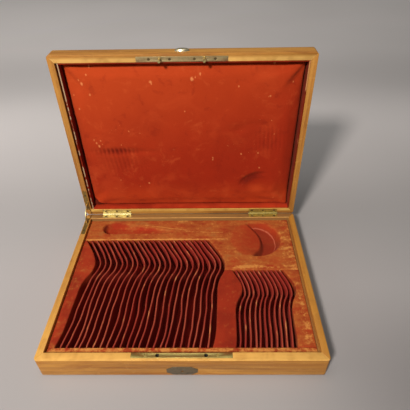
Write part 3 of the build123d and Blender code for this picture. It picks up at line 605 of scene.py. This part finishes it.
# Each finish: its name, the nodes that wear it, its recipe and what the recipe takes
finishes, finish_of = {}, {}
for name, node_names, recipe, *values in (
    ("oak_along_x", "base_bottom_panel", oak, "x", 1),
    ("oak_along_z", "lid_left_board lid_right_board", oak, "z", 3, 0.94),
    ("oak_front_board", "base_front_board", oak, "x", 1, 0.985, 0.0, front_rim),
    ("oak_left_board", "base_left_board", oak, "y", 2, 1.0, 0.0, left_rim),
    ("oak_rear_board", "base_rear_board", oak, "x", 6, 0.90, 0.58, rear_arris_highlight),
    ("oak_right_board", "base_right_board", oak, "y", 7, 0.9, 0.0, right_rim),
    ("oak_lid_panel", "lid_top_panel", oak, "x", 5, 1.0, 0.0, panel_gap_shade),
    ("oak_lid_rear_board", "lid_rear_board", oak, "x", 9, 0.95, 0.1, lid_rear_rim),
    ("oak_lid_front_board", "lid_front_board", oak, "x", 4, 0.94, 0.05, lid_front_rim),
    ("oak_packing_strip", "packing_strip", oak, "y", 8, 0.74, 0.25),
    ("bed_velvet", "ladle_bed", tray_velvet, 0.62, 0.0, 1.0, bed_gilt, recess_shades),
    ("strip_velvet", "front_strip", tray_velvet, 0.52, 3.0, 1.0, front_gilt),
    ("plain_velvet", "centre_filler", tray_velvet, -0.30, 5.0, 0.84),
    ("left_velvet", "left_filler", tray_velvet, 0.19, 9.0),
    ("rubbed_velvet", "right_filler", tray_velvet, 0.56, 7.0, 0.97, filler_gilt),
    ("divider_velvet", "tray_floor", divider_velvet),
    ("lid_velvet", "lid_cushion", lid_velvet),
    # Painted light and shade: the rear lining, which faces up, lighter; the side linings darker
    ("left_lining_velvet", "lid_left_lining", lining_velvet, 0.80, 1.5, (0.50, 0.335, 0.190)),
    ("right_lining_velvet", "lid_right_lining", lining_velvet, 0.7, 0.9, (0.60, 0.27, 0.095)),
    ("front_lining_velvet", "lid_front_lining", lining_velvet, 1.0),
    ("rear_lining_velvet", "lid_rear_lining", lining_velvet, 1.55),
    ("tarnished_brass", "left_hinge_pin right_hinge_pin stay_arc",
     metal, (0.52, 0.37, 0.15), (0.24, 0.17, 0.07), 0.36, 0.6),
    ("left_hinge_brass", "left_base_leaf left_lid_leaf",
     metal, (0.55, 0.46, 0.22), (0.32, 0.24, 0.08), 0.40, 0.6),
    ("right_hinge_brass", "right_base_leaf right_lid_leaf",
     metal, (0.58, 0.44, 0.13), (0.24, 0.17, 0.05), 0.36, 0.5),
    ("plate_brass", "lock_plate", metal, (0.56, 0.42, 0.13), (0.30, 0.21, 0.06), 0.40, 0.5),
    ("bright_brass", "thumb_lift", metal, (0.74, 0.62, 0.39), (0.44, 0.33, 0.16), 0.28, 0.45),
    ("strike_brass", "strike_plate", metal, (0.66, 0.50, 0.24), (0.34, 0.25, 0.11), 0.40, 0.5),
    ("stay_brass", "stay_base_plate stay_lid_plate",
     metal, (0.38, 0.235, 0.062), (0.20, 0.120, 0.032), 0.46, 0.7),
    ("stud_brass", "strike_studs", metal, (0.62, 0.50, 0.20), (0.20, 0.15, 0.07), 0.42, 0.7),
    ("grey_brass", "escutcheon", metal, (0.26, 0.20, 0.12), (0.15, 0.12, 0.08), 0.42, 0.7),
    ("dark_screw", "", metal, (0.20, 0.135, 0.055), (0.08, 0.05, 0.025), 0.45, 0.7),
    ("lock_steel", "lock_case lock_back_plate lock_bolt lock_spring",
     metal, (0.36, 0.35, 0.33), (0.20, 0.15, 0.11), 0.40, 0.6),
):
    finishes[name] = recipe(name, *values)
    finish_of |= dict.fromkeys(node_names.split(), name)


# Mesh helpers


def wear(mesh, finish_name):
    """Gives a mesh one finish, in place of what it had."""
    mesh.materials.clear()
    mesh.materials.append(finishes[finish_name])


def new_object(name, data):
    made = bpy.data.objects.new(name, data)
    scene.collection.objects.link(made)
    return made


def new_piece(name, mesh, finish_name):
    """A new object for a mesh in one finish."""
    wear(mesh, finish_name)
    return new_object(name, mesh)


# The CAD's own nodes; the screws and the partitions aren't in the table
for node_name, cad_node in nodes.items():
    other = "dark_screw" if node_name.endswith("_screws") else "divider_velvet"
    wear(cad_node.data, finish_of.get(node_name, other))


def mesh_of(graph, name):
    """Turns a bmesh into a new mesh, and ends it."""
    mesh = bpy.data.meshes.new(name)
    graph.to_mesh(mesh)
    graph.free()
    return mesh


def welded(node_name):
    """A copy of a CAD node as a bmesh, with its loose triangles joined."""
    graph = bmesh.new()
    graph.from_mesh(nodes[node_name].data)
    bmesh.ops.remove_doubles(graph, verts=graph.verts, dist=0.000002)
    return graph


def round_solid(name, profile, sides, centre=(0.0, 0.0), half=(1.0, 1.0)):
    """Mesh of a closed round or oval solid, from rings of (reach, height) round its centre."""
    graph = bmesh.new()
    turns = [2 * pi * side / sides for side in range(sides)]
    rings = []
    for reach, height in profile:
        across, along = half[0] * reach, half[1] * reach
        rings.append([
            graph.verts.new((centre[0] + across * cos(turn), centre[1] + along * sin(turn), height))
            for turn in turns
        ])
    for low, high in zip(rings, rings[1:]):
        for a in range(sides):
            b = (a + 1) % sides
            graph.faces.new((low[a], low[b], high[b], high[a]))
    graph.faces.new(reversed(rings[0]))
    graph.faces.new(rings[-1])
    return mesh_of(graph, name)


def smooth_shading(mesh, angle):
    """Shades a mesh smooth, but for edges sharper than an angle in degrees."""
    mesh.polygons.foreach_set("use_smooth", [True] * len(mesh.polygons))
    mesh.set_sharp_from_angle(angle=radians(angle))


def places_of(mesh):
    return np.array([vert.co for vert in mesh.vertices])


def place_all(mesh, places):
    for vert, place in zip(mesh.vertices, places):
        vert.co = place


def evaluated_mesh(piece):
    """A new mesh of what a piece is with its modifiers."""
    graph = bpy.context.evaluated_depsgraph_get()
    return bpy.data.meshes.new_from_object(piece.evaluated_get(graph))


def baked(piece):
    """Turns a piece's modifiers into its mesh."""
    bpy.context.view_layer.update()
    mesh = evaluated_mesh(piece)
    piece.modifiers.clear()
    piece.data = mesh


def shaped(piece, kind, **settings):
    """Runs one modifier on a piece and keeps its result."""
    modifier = piece.modifiers.new(kind.lower(), kind)
    for name, value in settings.items():
        setattr(modifier, name, value)
    baked(piece)


def geometry_tree(name, **inputs):
    """A geometry node tree with a geometry and other named inputs; gives it and their values."""
    tree = bpy.data.node_groups.new(name, "GeometryNodeTree")
    for label, kind in {"Geometry": "Geometry", **inputs}.items():
        tree.interface.new_socket(label, in_out="INPUT", socket_type="NodeSocket" + kind)
    tree.interface.new_socket("Geometry", in_out="OUTPUT", socket_type="NodeSocketGeometry")
    graph = Graph(tree)
    given = tree.nodes.new("NodeGroupInput")
    return graph, {socket.name: Value(graph, socket) for socket in given.outputs if socket.name}


def finished_tree(graph, geometry, material):
    """Ends a geometry node tree, whose instances are real by now, with a material."""
    clad = graph.node("GeometryNodeSetMaterial", {"Geometry": geometry, "Material": material})
    output = graph.tree.nodes.new("NodeGroupOutput")
    graph.tree.links.new(clad.socket, output.inputs[0])
    return graph.tree


def grown(piece, tree, **values):
    """Runs a geometry node tree on a piece, with values for its named inputs."""
    modifier = piece.modifiers.new("grown", "NODES")
    modifier.node_group = tree
    for item in tree.interface.items_tree:
        if item.item_type == "SOCKET" and item.in_out == "INPUT" and item.name in values:
            modifier[item.identifier] = values[item.name]
    baked(piece)


# Boards, blocks and plates with eased edges


def eased_copy(node_name, width):
    """Copy of a CAD node with its sharp edges eased, which stands for the node."""
    graph = welded(node_name)
    bmesh.ops.dissolve_limit(graph, angle_limit=radians(0.5), verts=graph.verts, edges=graph.edges)
    name = node_name + "_eased"
    piece = new_piece(name, mesh_of(graph, name), finish_of[node_name])
    shaped(
        piece, "BEVEL", width=width, segments=2, limit_method="ANGLE", angle_limit=radians(30),
        use_clamp_overlap=True,
    )
    smooth_shading(piece.data, 50)
    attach(piece, nodes[node_name]["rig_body"])
    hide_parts(node_name)


# Widths of the eased edges of boards, velvet-covered blocks and plates
for width, node_names in (
    (0.0007, "base_front_board"),
    (0.0003, "base_rear_board"),
    (0.0007, "base_left_board base_right_board lid_front_board"),
    (0.0003, "lid_rear_board"),
    (0.0007, "lid_left_board lid_right_board"),
    (0.0006, "front_strip left_filler centre_filler right_filler"),
    (0.00015, "lock_plate strike_plate escutcheon"),
):
    for node_name in node_names.split():
        eased_copy(node_name, width)


# The ladle's bed: soft velvet edges, and a bowl hollow whose ramp fades into the bed; millimetres
bowl_centre = (125.0, 91.7)
bowl_half = (48.4, 46.6)
ramp_centre = (88.0, 88.5)
ramp_radius = 49.0


def bowl_ring(x, y):
    """Distance from the bowl's centre in its own radii."""
    return np.hypot((x - bowl_centre[0]) / bowl_half[0], (y - bowl_centre[1]) / bowl_half[1])


def smooth_step(value):
    """0 below 0, 1 above 1, with a smooth step between them."""
    value = np.clip(value, 0, 1)
    return value * value * (3 - 2 * value)


def bowl_depth(x, y):
    """Depth of the bowl hollow below the bed: a ramp from the left, then a step to its floor."""
    off_ramp = np.hypot(x - ramp_centre[0], y - ramp_centre[1]) - ramp_radius
    step = smooth_step((off_ramp + 4.0) / 9.0)
    ramp_depth = 9.0 * np.clip((x - 80) / 56, 0, 1.1) ** 1.7
    floor_depth = 19.5 - 8.5 * np.clip((y - 96) / 38, 0, 1)
    wall = smooth_step((1 - bowl_ring(x, y)) * (2.0 + 2.6 * step))
    return wall * (ramp_depth * (1 - step) + floor_depth * step)


def soft_bed():
    """The bed, remeshed, with the hollow pressed into its top and a slightly uneven surface."""
    name = "ladle_bed_soft"
    piece = new_piece(name, mesh_of(welded("ladle_bed"), name), "bed_velvet")
    shaped(piece, "REMESH", mode="VOXEL", voxel_size=0.0012, use_smooth_shade=True)
    shaped(piece, "SMOOTH", factor=0.5, iterations=2)
    places = places_of(piece.data)
    x, y, z = places[:, 0] / mm, places[:, 1] / mm, places[:, 2] / mm
    top = insert_top / mm
    pressed = np.clip((1.06 - bowl_ring(x, y)) / 0.05, 0, 1) * (z > 9)
    wanted = top - bowl_depth(x, y) - 0.25 * pressed
    dip = np.array([noise.noise(Vector((a / 21, b / 15, 4.4))) for a, b in zip(x, y)])
    surface = np.clip((z - 32) / 2.5, 0, 1)
    z = np.where(pressed > 0, z + (wanted - z) * pressed, z) + 0.22 * dip * surface
    places[:, 2] = np.minimum(z, top + 0.2) * mm
    place_all(piece.data, places)
    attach(piece, "base")
    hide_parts("ladle_bed")


soft_bed()


# Partitions between the slots


def course(name, path, rear):
    """Points of a partition's S-curve from its rear end to the front of the slots."""
    curve = bpy.data.curves.new(name, "CURVE")
    curve.dimensions = "3D"
    spline = curve.splines.new("NURBS")
    spline.points.add(len(path) - 1)
    for point, (back, side) in zip(spline.points, path):
        point.co = (side * mm, rear - back * mm, 0, 1)
    spline.order_u = 3
    spline.use_endpoint_u = True
    spline.resolution_u = 14
    holder = new_object(name, curve)
    bpy.context.view_layer.update()
    points = [vert.co.copy() for vert in evaluated_mesh(holder).vertices]
    bpy.data.objects.remove(holder)
    points = [point for point in points if slots_front < point.y < rear]
    return [Vector((points[0].x, rear, 0)), *points, Vector((points[-1].x, slots_front, 0))]


def partition(name, points):
    """Mesh of one partition with a rounded top, which follows the points."""
    half = divider_thickness / 2
    crown = half * 0.9
    shoulder = divider_height - crown
    section = [(-half, 0.0), (-half, shoulder)]
    section += [
        (-half * cos(pi * step / 6), shoulder + crown * sin(pi * step / 6)) for step in range(1, 6)
    ]
    section += [(half, shoulder), (half, 0.0)]
    strip = bmesh.new()
    rings = []
    last = len(points) - 1
    for index, point in enumerate(points):
        along = (points[min(index + 1, last)] - points[max(index - 1, 0)]).normalized()
        aside = Vector((-along.y, along.x, 0))
        if index in (0, last):
            aside = Vector((1 if aside.x > 0 else -1, 0, 0))
        rings.append([
            strip.verts.new(point + aside * side + Vector((0, 0, divider_foot + height)))
            for side, height in section
        ])
    for ring, following in zip(rings, rings[1:]):
        for a in range(len(section)):
            b = (a + 1) % len(section)
            strip.faces.new((ring[a], following[a], following[b], ring[b]))
    strip.faces.new(rings[0])
    strip.faces.new(reversed(rings[-1]))
    bmesh.ops.recalc_face_normals(strip, faces=strip.faces)
    mesh = mesh_of(strip, name)
    smooth_shading(mesh, 60)
    return mesh


def row_tree():
    """Repeats a partition along x and bends each one a little, least of all at its rear end."""
    graph, given = geometry_tree(
        "partition_row", Count="Int", First="Float", Pitch="Float", Rear="Float",
        Waviness="Float", Seed="Float", Velvet="Material",
    )
    node = graph.node
    line = {
        "Count": given["Count"],
        "Start Location": node("ShaderNodeCombineXYZ", {0: given["First"]}),
        "Offset": node("ShaderNodeCombineXYZ", {0: given["Pitch"]}),
    }
    copies = {"Points": node("GeometryNodeMeshLine", line), "Instance": given["Geometry"]}
    row = node("GeometryNodeInstanceOnPoints", copies)
    numbered = {"Geometry": row, "Name": "row", "Value": node("GeometryNodeInputIndex")}
    row = node(
        "GeometryNodeStoreNamedAttribute", numbered, data_type="FLOAT", domain="INSTANCE"
    )
    solid = node("GeometryNodeRealizeInstances", {"Geometry": row})
    number = node("GeometryNodeInputNamedAttribute", {"Name": "row"}, data_type="FLOAT")
    position = {0: node("GeometryNodeInputPosition")}
    along = node("ShaderNodeSeparateXYZ", position, out=1)
    height = node("ShaderNodeSeparateXYZ", position, out=2)
    place = node("ShaderNodeCombineXYZ", {0: number * 7.31 + given["Seed"], 1: along * 19.0})
    wave = node("ShaderNodeTexNoise", {"Vector": place, "Scale": 1.0, "Detail": 1.0})
    drift = node("ShaderNodeTexNoise", {"Vector": place, "Scale": 0.37, "Detail": 0.0})
    loose = (abs(along - given["Rear"]) / 0.03).held(0.0, 1.0) * 0.85 + 0.15
    shift = ((wave - 0.5) * 1.6 + (drift - 0.5) * 1.2) * loose * given["Waviness"]
    dip = (wave - 0.5) * 0.0012 * ((height - divider_foot) / divider_height)
    move = node("ShaderNodeCombineXYZ", {0: shift, 2: dip})
    moved = node("GeometryNodeSetPosition", {"Geometry": solid, "Offset": move})
    return finished_tree(graph, moved, given["Velvet"])


def divider_row(name, path, left, slot, count, rear, seed, waviness, replaced):
    """Row of hand-cut partitions: one on a smooth S-curve, repeated with small differences."""
    mesh = partition(name, course(name + "_path", path, rear))
    piece = new_piece(name, mesh, "divider_velvet")
    grown(
        piece, partition_row, Count=count, First=left + slot + divider_thickness / 2,
        Pitch=slot + divider_thickness, Rear=rear, Waviness=waviness, Seed=seed,
        Velvet=finishes["divider_velvet"],
    )
    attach(piece, "base")
    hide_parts(*replaced)


partition_row = row_tree()
divider_row(
    "large_partitions", large_path, large_left, large_slot, 23, large_rear, 3.0, 4.2 * mm,
    ["large_slot_dividers"],
)
divider_row(
    "small_partitions", small_path, small_left, small_slot, 11, small_rear, 90.0, 2.6 * mm,
    [f"small_slot_divider_{i:02d}" for i in range(1, 12)],
)


# Screws


def screw_head():
    """One slotted countersunk head as an object, sunk a little below the surface at z = 0."""
    radius, depth, slot = 2.25 * mm, 0.9 * mm, 0.32 * mm
    profile = (
        (radius * 0.55, -depth * 1.6), (radius, -0.26 * mm), (radius * 0.93, -0.16 * mm),
        (radius * 0.55, -0.10 * mm),
    )
    mesh = round_solid("screw_head", profile, 20)
    smooth_shading(mesh, 40)
    head = new_piece("screw_head", mesh, "dark_screw")
    cutter = bmesh.new()
    size = Matrix.Diagonal((radius * 2.4, slot * 2, depth, 1))
    bmesh.ops.create_cube(cutter, size=1.0, matrix=size)
    blade = new_object("slot_blade", mesh_of(cutter, "slot_blade"))
    shaped(head, "BOOLEAN", operation="DIFFERENCE", object=blade)
    bpy.data.objects.remove(blade)
    return head


def screws_tree():
    """Sets a head at each point, tilted to its surface, with its slot turned at random."""
    graph, given = geometry_tree(
        "screws", Head="Object", Seed="Int", Tilt="Vector", Metal="Material"
    )
    node = graph.node
    ends = {2: 0.0, 3: pi, "Seed": given["Seed"]}
    spin = node("FunctionNodeRandomValue", ends, out=1, data_type="FLOAT")
    copies = {
        "Points": given["Geometry"],
        "Instance": node("GeometryNodeObjectInfo", {"Object": given["Head"]}, out=4),
        "Rotation": given["Tilt"],
    }
    heads = node("GeometryNodeInstanceOnPoints", copies)
    turn = node("ShaderNodeCombineXYZ", {2: spin})
    heads = node("GeometryNodeRotateInstances", {"Instances": heads, "Rotation": turn})
    solid = node("GeometryNodeRealizeInstances", {"Geometry": heads})
    return finished_tree(graph, solid, given["Metal"])


def node_centres(node_name, axis):
    """Centres of a node's separate solids on the rim that they are set in, in order of place."""
    graph = welded(node_name)
    left, centres = set(graph.verts), []
    while left:
        island, edge = set(), [left.pop()]
        while edge:
            vert = edge.pop()
            island.add(vert)
            for link in vert.link_edges:
                other = link.other_vert(vert)
                if other in left:
                    left.discard(other)
                    edge.append(other)
        low = Vector([min(v.co[i] for v in island) for i in range(3)])
        high = Vector([max(v.co[i] for v in island) for i in range(3)])
        centre = (low + high) / 2
        centre[axis] = high[axis] if axis == 2 else low[axis]
        centres.append(centre)
    graph.free()
    return sorted(centres, key=tuple)


def screw_group(node_name, axis, seed, finish_name):
    """Slotted heads for a node of screws, set in rims that face up (axis 2) or forward (axis 1)."""
    spots = bpy.data.meshes.new(node_name + "_slotted")
    spots.from_pydata([tuple(centre) for centre in node_centres(node_name, axis)], [], [])
    piece = new_piece(node_name + "_slotted", spots, finish_name)
    grown(
        piece, screws, Head=head, Seed=seed, Metal=finishes[finish_name],
        Tilt=(0.0, 0.0, 0.0) if axis == 2 else (radians(90), 0.0, 0.0),
    )
    wear(piece.data, finish_name)
    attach(piece, nodes[node_name]["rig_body"])
    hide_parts(node_name)


head = screw_head()
screws = screws_tree()
for node_name, axis, seed, finish_name in (
    ("lock_screws", 2, 5, "plate_brass"),
    ("base_hinge_screws", 2, 11, "dark_screw"),
    ("stay_base_screws", 2, 17, "dark_screw"),
    ("strike_screws", 1, 23, "dark_screw"),
    ("lid_hinge_screws", 1, 29, "dark_screw"),
    ("stay_lid_screws", 1, 31, "dark_screw"),
):
    screw_group(node_name, axis, seed, finish_name)
bpy.data.objects.remove(head)


# Thumb lift


def domed_button():
    """An oval button with a rim round its dome, in shares of the thumb lift's size."""
    low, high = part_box("thumb_lift")
    centre, half = (low + high) / 2, (high - low) / 2
    profile = [
        (reach, low.z + (high.z - low.z) * rise)
        for reach, rise in (
            (1.0, 0.0), (1.0, 0.16), (0.97, 0.26), (0.93, 0.30), (0.90, 0.46), (0.80, 0.74),
            (0.62, 0.90), (0.38, 0.975), (0.16, 1.0),
        )
    ]
    mesh = round_solid("domed_button", profile, 48, centre, half)
    smooth_shading(mesh, 60)
    piece = new_piece("domed_button", mesh, "bright_brass")
    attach(piece, "lid")
    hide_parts("thumb_lift")


domed_button()


# The lid's cushion


def swollen(piece, back):
    """Blows a pad up as cloth that is held along its back; gives the places of its points."""
    held_depth, limit = 0.003, 0.005
    start = places_of(piece.data)
    group = piece.vertex_groups.new(name="held")
    group.add([i for i, p in enumerate(start) if p[1] > back - held_depth], 1.0, "REPLACE")
    cloth = piece.modifiers.new("cloth", "CLOTH").settings
    cloth.use_pressure = True
    cloth.uniform_pressure_force = 4.0
    cloth.effector_weights.gravity = 0.0
    cloth.vertex_group_mass = "held"
    cloth.quality = 5
    cloth.tension_stiffness = 12.0
    cloth.compression_stiffness = 12.0
    cloth.bending_stiffness = 0.6
    for step in range(1, 21):
        scene.frame_set(step)
    move = places_of(evaluated_mesh(piece)) - start
    piece.modifiers.clear()
    piece.vertex_groups.clear()
    scene.frame_set(1)
    size = np.linalg.norm(move, axis=1, keepdims=True)
    return start + np.where(size > limit, move * limit / np.maximum(size, 1e-9), move)


def cushion():
    """The padded cushion: a remeshed block, swollen, softened and worn."""
    low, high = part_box("lid_cushion")
    inset, room_to_swell = 0.0004, 0.0042
    low_corner = Vector((low.x + inset, low.y + room_to_swell, low.z + inset))
    high_corner = Vector((high.x - inset, high.y, high.z - inset))
    pad = bmesh.new()
    bmesh.ops.create_cube(pad, size=1.0)
    for vert in pad.verts:
        vert.co = [
            far if side > 0 else near for side, near, far in zip(vert.co, low_corner, high_corner)
        ]
    mesh = mesh_of(pad, "lid_cushion_pad")
    piece = new_piece("lid_cushion_pad", mesh, "lid_velvet")
    shaped(piece, "REMESH", mode="VOXEL", voxel_size=0.005)
    place_all(piece.data, swollen(piece, high.y))
    shaped(piece, "SMOOTH", factor=0.5, iterations=3)
    shaped(piece, "SUBSURF", levels=1, render_levels=1)
    shape_cushion(piece.data, low, high)
    smooth_shading(piece.data, 80)
    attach(piece, "lid")
    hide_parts("lid_cushion")


def shape_cushion(mesh, low, high):
    """Wear of long use: silver's prints, a crease, a fold along the lower edge and slack edges."""
    gap = 0.0002
    places = places_of(mesh)
    for axis in (0, 2):
        column = places[:, axis]
        least, greatest = column.min(), column.max()
        wanted = high[axis] - low[axis] - 2 * gap
        places[:, axis] = low[axis] + gap + (column - least) * wanted / (greatest - least)
    x, y, z = places[:, 0] / mm, places[:, 1], places[:, 2] / mm
    face = np.clip((high.y - 0.002 - y) / 0.008, 0, 1)

    def slow(scale, seed):
        return np.array([noise.noise(Vector((a / scale, b / scale, seed))) for a, b in zip(x, z)])

    def ribs(lean, pitch):
        return 0.5 + 0.5 * np.sin(2 * pi * (x + lean * z) / pitch)

    left_ribs, right_ribs = ribs(*left_print), ribs(*right_print)
    depth = np.zeros(len(x))
    # Each press: depth, centre in x and z, reach in x and z, and the pattern of what pressed there
    for press, centre_x, centre_z, reach_x, reach_z, pattern in (
        (3.2, -130, 182, 38, 6.5, 0.35 + 0.65 * left_ribs),
        (1.0, -116, 155, 36, 22, left_ribs),
        (1.1, -74, 181, 24, 5, 1),
        (0.9, 142, 200, 24, 26, right_ribs),
        (2.0, 91, 223, 11, 8, 1),
        (0.9, 120, 232, 26, 7, 1),
        (-1.6, 136, 108, 26, 15, 1),
        (1.1, 140, 84, 34, 9, 1),
    ):
        away = ((x - centre_x) / reach_x) ** 2 + ((z - centre_z) / reach_z) ** 2
        depth += press * np.exp(-away) * pattern
    arc = np.hypot(x - crease_centre[0], (z - crease_centre[1]) * crease_squash)
    crease = np.exp(-((arc - 41) / 4.6) ** 2) * np.clip((z - 103) / 16, 0, 1)
    crease = crease * np.clip((148 - x) / 22, 0, 1)
    depth += 4.4 * crease * np.clip((x - 88) / 10, 0, 1)
    waves = 0.9 * np.sin(x / long_wave + wave_phase) + 0.6 * np.sin(x / short_wave)
    fold = low.z / mm + 1.0 + waves
    depth -= 3.4 * np.exp(-((z - fold - 3) / 7.0) ** 2)
    depth += 0.9 * (slow(62, 1.7) + 0.6 * slow(27, 5.2))
    beside = np.minimum(x - low.x / mm, high.x / mm - x)
    edge = np.minimum(beside, high.z / mm - z)
    depth += 1.5 * slow(15, 9.1) * np.exp(-np.clip(edge, 0, None) / 10)
    places[:, 1] += depth * mm * face
    slack = np.clip(0.3 + 1.2 * slow(30, 3.3), 0, 1.1) * np.exp(-np.clip(edge, 0, None) / 6)
    slack = slack * np.where(x < 0, 1.0, -0.3)
    places[:, 0] += slack * mm * (beside < 14)
    lowest = np.array(low) - (0.0003, 0.001, 0.0003)
    highest = np.array(high) + (0.0003, 0.0, 0.0003)
    place_all(mesh, np.clip(places, lowest, highest))


cushion()


# Camera, fitted to the photograph's corners: its focal length in pixels, and its turns in degrees
photo_width, focal_pixels = 410, 390.97
camera_place = (0.04224, -0.43911, 0.54389)
pan, tilt, roll = 1.120, 51.080, -1.102

camera_data = bpy.data.cameras.new("camera")
camera = new_object("camera", camera_data)
camera.location = camera_place
camera.rotation_mode = "QUATERNION"
camera.rotation_quaternion = (
    Matrix.Rotation(radians(pan), 3, "Z")
    @ Matrix.Rotation(radians(tilt), 3, "X")
    @ Matrix.Rotation(radians(roll), 3, "Z")
).to_quaternion()
camera_data.sensor_width = 36.0
camera_data.lens = focal_pixels / photo_width * 36.0
camera_data.clip_start = 0.01
scene.camera = camera


# Light and floor


def lamp(name, place, target, size, power, colour):
    """A round area lamp that looks at a target."""
    data = bpy.data.lights.new(name, "AREA")
    data.shape = "DISK"
    data.size = size
    data.energy = power
    data.color = colour
    light = new_object(name, data)
    light.location = place
    light.rotation_mode = "QUATERNION"
    light.rotation_quaternion = (Vector(target) - Vector(place)).to_track_quat("-Z", "Y")


lamp("key", (-0.56, -1.24, 1.42), (0.0, 0.05, 0.08), 0.26, 37.8, (1.0, 0.98, 0.955))
lamp("window", (-2.4, -0.3, 1.25), (0.0, 0.05, 0.05), 1.4, 9.0, (0.96, 0.985, 1.0))
lamp("ceiling", (-0.2, -0.1, 2.3), (0.0, 0.05, 0.0), 1.5, 11.0, (0.96, 0.99, 0.99))

world = bpy.data.worlds.new("studio")
scene.world = world
world.use_nodes = True
sky = world.node_tree.nodes["Background"]
sky.inputs["Color"].default_value = (0.96, 1.0, 0.985, 1.0)
sky.inputs["Strength"].default_value = 0.13


def floor():
    """Pale grey paper whose tone, painted light on a log scale, falls off as in the photograph."""
    dark_grey, pale_grey = (0.412, 0.374, 0.356), (0.433, 0.393, 0.375)
    grain_grey = (0.31, 0.285, 0.27)
    ground = bmesh.new()
    bmesh.ops.create_grid(ground, x_segments=8, y_segments=8, size=6.0)
    mesh = mesh_of(ground, "floor")
    finish = Finish("floor_paint")
    grains = finish.noise(380.0, 3.0, 0.6)
    clouds = finish.noise(1.3, 2.0, 0.5)
    body = finish.mix(clouds.between(0.35, 0.65), dark_grey, pale_grey)
    body = finish.mix(grains * 0.08, body, grain_grey)
    along = finish.y.held(-0.35, 2.2)
    across = finish.x.held(-1.2, 1.1)
    # Painted light and shade: lighter to the left and to the back, a lighter and a darker band far
    # off, darker just behind the chest and at the front right
    tone = across * -0.19 + along * 0.78 + across * along * 0.05 - along * along * 0.120 - 0.045
    tone = tone + along.near(0.60, 0.34) * 0.16 - along.near(1.02, 0.34) * 0.13
    tone = tone - along.near(0.19, 0.20) * 0.10
    tone = tone - across.between(0.10, 0.42) * along.between(0.02, -0.20) * 0.44
    lit = {0: body, "Scale": tone.maths("EXPONENT")}
    body = finish.node("ShaderNodeVectorMath", lit, operation="SCALE")
    finishes["floor"] = finish.surface(
        Base_Color=body, Roughness=0.75, Specular_IOR_Level=0.2,
        Normal=finish.bump(grains, 0.05, 0.0003),
    )
    piece = new_piece("floor", mesh, "floor")


floor()

scene.view_settings.view_transform = "Standard"
